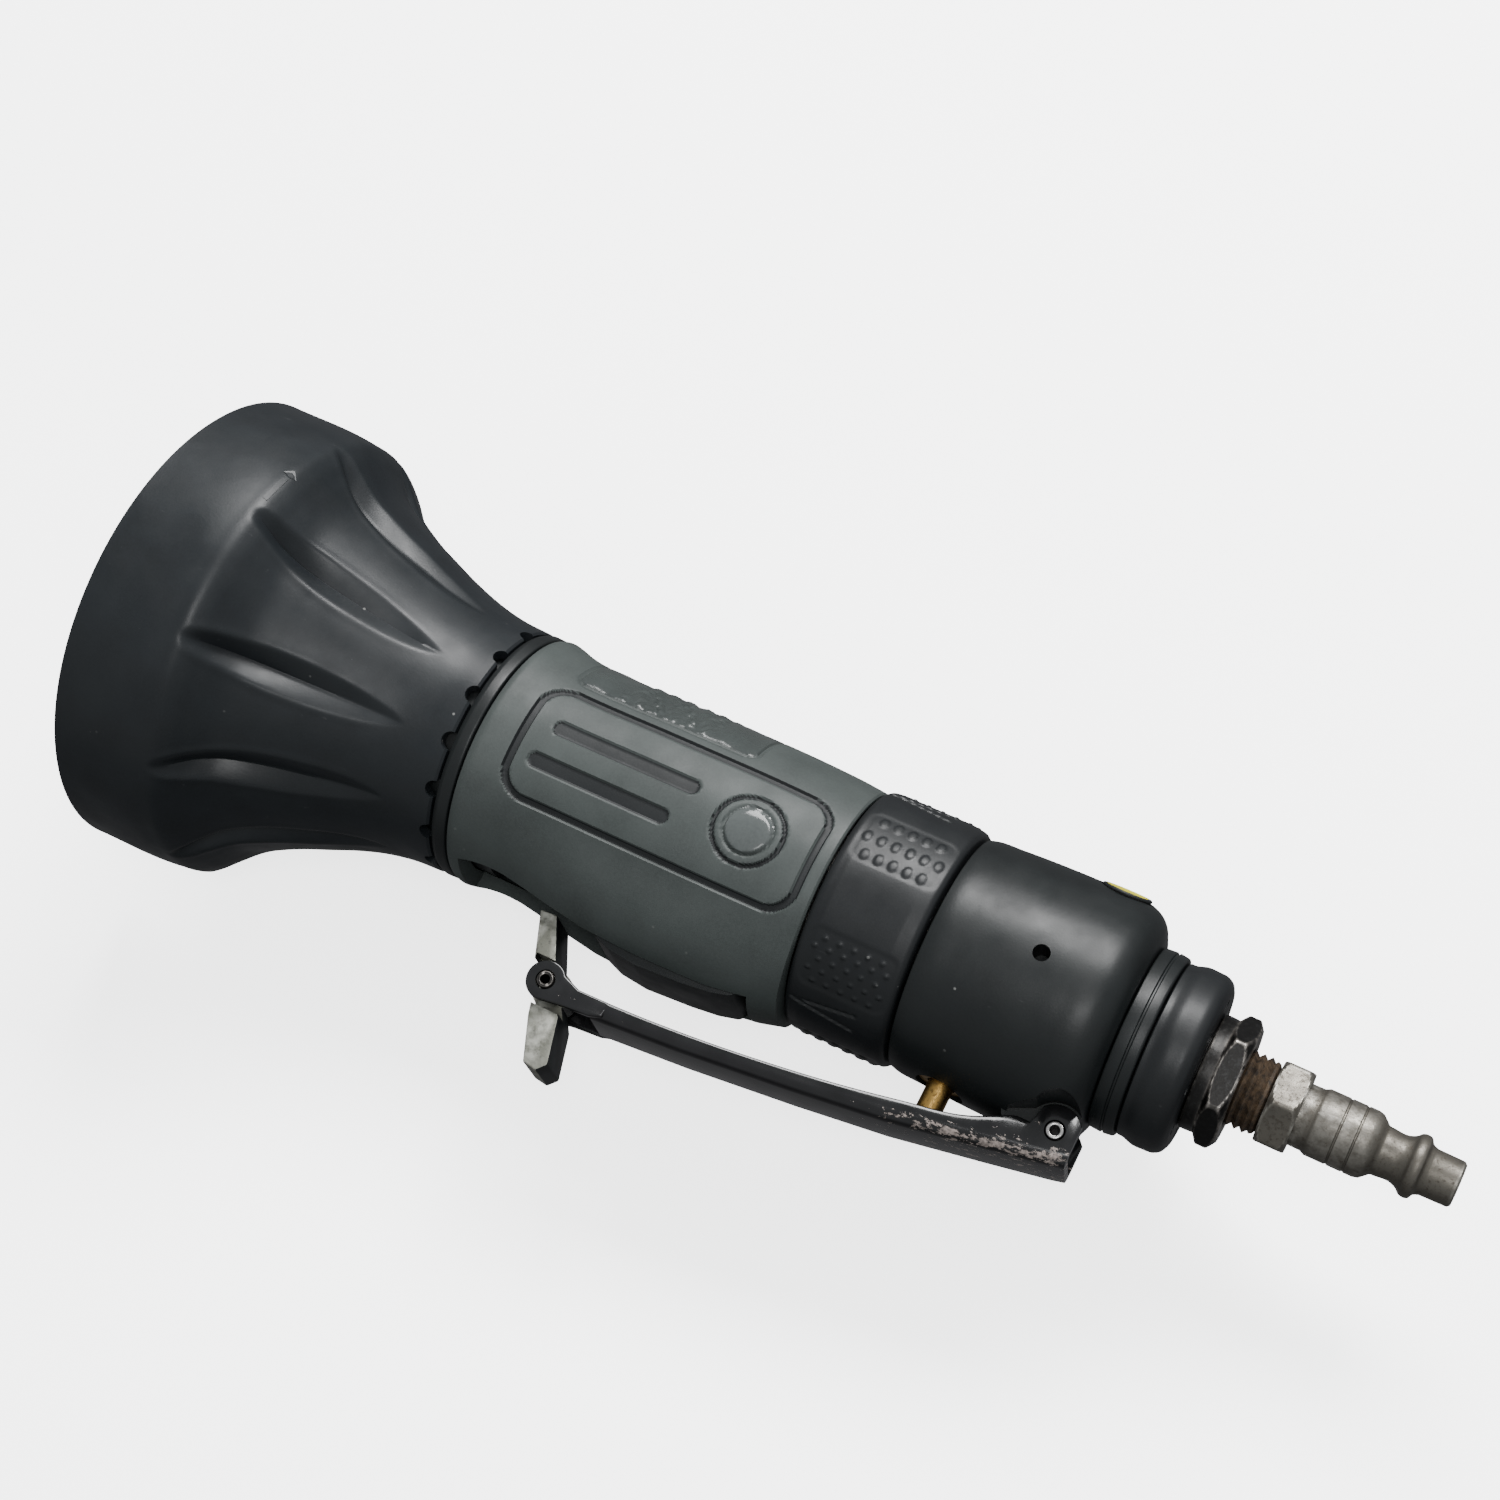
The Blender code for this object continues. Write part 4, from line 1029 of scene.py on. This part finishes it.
def end_caps(k, m):
    """Caps of a channel as quads between its outer and inner skins."""
    half = m // 2
    skin = 7
    caps = []
    for ring, flip in ((0, False), (k - 1, True)):
        base = ring * m
        for side in (0, 1):
            def at(i):
                index = i if side == 0 else m - 1 - i
                return base + index
            quads = [(at(i), at(i + 1), at(half - 2 - i), at(half - 1 - i)) for i in range(skin - 1)]
            quads += [(at(6), at(7), at(11), at(12)), (at(7), at(8), at(9), at(10), at(11))]
            caps += [q if (side == 0) == flip else q[::-1] for q in quads]
        bridge = (base, base + half - 1, base + half, base + m - 1)
        caps.append(bridge if not flip else bridge[::-1])
    return caps


def make_pins():
    for name, node, at, body in (("pivot_roll_pin", "lever_pin", LEVER_PIVOT, "root"), ("lock_roll_pin",
            "lock_pin", LOCK_PIVOT, "lever")):
        steps = 48
        a = np.arange(steps) * math.tau / steps
        section = rounded([(-7.6, 1.5), (7.6, 1.5), (7.6, 0.85), (-7.6, 0.85)], 0.25)
        rings = [np.stack([at[0] + r * np.cos(a), at[1] + r * np.sin(a), np.full(steps, z)], -1) for z, r in section]
        pin = smooth(wrapped(name, np.array(rings), "bright_steel" if node == "lever_pin" else "dark_steel"))
        carry(pin, body, "bright_steel", node)


def make_lock():
    outline = rounded([(83.5, -24.2, 0.3), (86.8, -23.95, 0.3), (91.0, -32.0, 0.5)] + [(*p,
            0) for p in arc(LOCK_PIVOT, 3.65, 75.0, -35.0, 16)]
                      + [(96.1, -40.2, 0.5), (98.5, -48.4, 0.7), (97.0, -50.1, 0.5), (94.3, -49.75, 0.5), (90.9,
                              -41.9, 1.0), (90.1, -39.3, 0.3)]
                      + [(*p, 0) for p in arc(LOCK_PIVOT, 3.65, 240.0, 165.0, 10)], 0.3)
    lock = prism("lock_bar", outline, -5.25, 5.25, "olive_cast", 0.45, 3)
    x, y = LOCK_PIVOT
    carve(lock, cutter_box((x - 4.4, y - 4.3, 1.0), (x + 4.4, y + 4.1, 10.0)), cutter_rod(PIN_HOLE_R, -20.0, 20.0,
            Matrix.Translation((x, y, 0.0)), 40), solver="EXACT")
    smooth(lock, 40.0)
    # Faces turned towards +x take the black body material, so that side is darker than the olive cast.
    lock.data.materials.append(MATERIALS["black_body"])
    for polygon in lock.data.polygons:
        if polygon.normal.x > 0.45:
            polygon.material_index = 1
    carry(lock, "lock_off", "olive_cast", "lock_off")
    path = []
    for t in np.linspace(0.0, 3.0, 97):
        a = math.tau * t - 0.6
        path.append((x + 2.4 * math.cos(a), y + 2.4 * math.sin(a), 1.75 + 1.05 * t))
    spring = tube("lock_coil", path, 0.34, "bright_steel")
    carry(spring, "lever", "bright_steel", "lock_spring")


def make_stem():
    section = rounded([(-7.6, 0.0, 0), (-7.6, 1.7, 0.2), (-12.6, 1.7, 0.3), (-13.6, 2.3, 0.3), (-28.4, 2.3, 0.8),
            (-29.5, 1.2, 0.5), (-29.5, 0.0, 0)], 0.3)
    steps = 48
    a = np.arange(steps) * math.tau / steps
    rings = [np.stack([VALVE_X + r * np.cos(a), np.full(steps, y), r * np.sin(a)], -1) for y, r in section]
    stem = smooth(wrapped("stem_rod", np.array(rings), "brass", weld=True))
    carry(stem, "valve_stem", "brass", "valve_stem")


# ---------------------------------------------------------------- put together

make_guard()
make_front()
make_grip()
make_motor_housing()
make_reversing()
make_rear_housing()
make_exhaust()
make_inlet()
make_plug()
make_lever()
make_pins()
make_lock()
make_stem()

for part in frame["record"]["subparts"]:
    node = frame["nodes"][part["node"]]
    node.data.materials.clear()
    node.data.materials.append(MATERIALS[part["material_slot"]])


# ---------------------------------------------------------------- floor, light, camera

FLOOR_GLOW = 2.6
FLOOR_GAP = 0.0002            # metres between the tool and the floor


def make_floor(height):
    material = bpy.data.materials.new("pale_floor")
    material.use_nodes = True
    shader = material.node_tree.nodes["Principled BSDF"]
    shader.inputs["Base Color"].default_value = (0.97, 0.97, 0.97, 1.0)
    shader.inputs["Roughness"].default_value = 0.9
    shader.inputs["Emission Color"].default_value = (1.0, 1.0, 1.0, 1.0)
    shader.inputs["Emission Strength"].default_value = FLOOR_GLOW
    mesh = bpy.data.meshes.new("floor")
    size = 6.0
    mesh.from_pydata([(-size, -size, height), (size, -size, height), (size, size, height), (-size, size, height)],
            [], [(0, 1, 2, 3)])
    mesh.materials.append(material)
    floor = placed("floor", mesh)
    floor.visible_diffuse = False     # the floor is seen, but throws no light up on the tool
    floor.visible_glossy = False
    floor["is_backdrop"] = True


def area_light(name, place, target, size, power, colour=(1.0, 1.0, 1.0)):
    light = bpy.data.lights.new(name, "AREA")
    light.shape = "RECTANGLE"
    light.size, light.size_y = size
    light.energy = power
    light.color = colour
    obj = bpy.data.objects.new(name, light)
    obj.location = place
    obj.rotation_euler = (Vector(target) - Vector(place)).to_track_quat("-Z", "Y").to_euler()
    bpy.context.scene.collection.objects.link(obj)


ABOVE = (0.80, 0.83, 0.85)    # studio brightness above and below the horizon
BELOW = (0.16, 0.16, 0.165)


def make_light():
    world = bpy.data.worlds.new("studio")
    world.use_nodes = True
    tree = world.node_tree
    coords = tree.nodes.new("ShaderNodeTexCoord")
    split = tree.nodes.new("ShaderNodeSeparateXYZ")
    height = tree.nodes.new("ShaderNodeMapRange")
    tint = tree.nodes.new("ShaderNodeMix")
    tint.data_type = "RGBA"
    tint.inputs["A"].default_value = (*BELOW, 1.0)
    tint.inputs["B"].default_value = (*ABOVE, 1.0)
    height.interpolation_type = "SMOOTHSTEP"
    height.inputs["From Min"].default_value = -0.35
    height.inputs["From Max"].default_value = 0.25
    tree.links.new(coords.outputs["Generated"], split.inputs["Vector"])
    tree.links.new(split.outputs["Z"], height.inputs["Value"])
    tree.links.new(height.outputs["Result"], tint.inputs["Factor"])
    tree.links.new(tint.outputs["Result"], tree.nodes["Background"].inputs["Color"])
    bpy.context.scene.world = world
    centre = (0.12, 0.0, 0.0)
    area_light("top_softbox", (0.10, 0.75, 0.75), centre, (0.7, 0.35), 30.0)
    area_light("front_softbox", (0.35, -0.2, 1.0), centre, (0.3, 0.3), 5.0)


def make_camera():
    camera = bpy.data.cameras.new("camera")
    camera.lens = 60.0
    camera.sensor_width = 36.0
    obj = bpy.data.objects.new("camera", camera)
    right = Vector((0.88035, 0.45866, -0.12083))
    up = Vector((-0.38313, 0.83781, 0.38893))
    back = Vector((0.27963, -0.29611, 0.91331))
    matrix = Matrix((right, up, back)).transposed().to_4x4()
    matrix.translation = (0.22835, -0.11418, 0.4138)
    obj.matrix_world = matrix
    bpy.context.scene.collection.objects.link(obj)
    bpy.context.scene.camera = obj


make_floor(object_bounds()[0].z - FLOOR_GAP)
make_light()
make_camera()
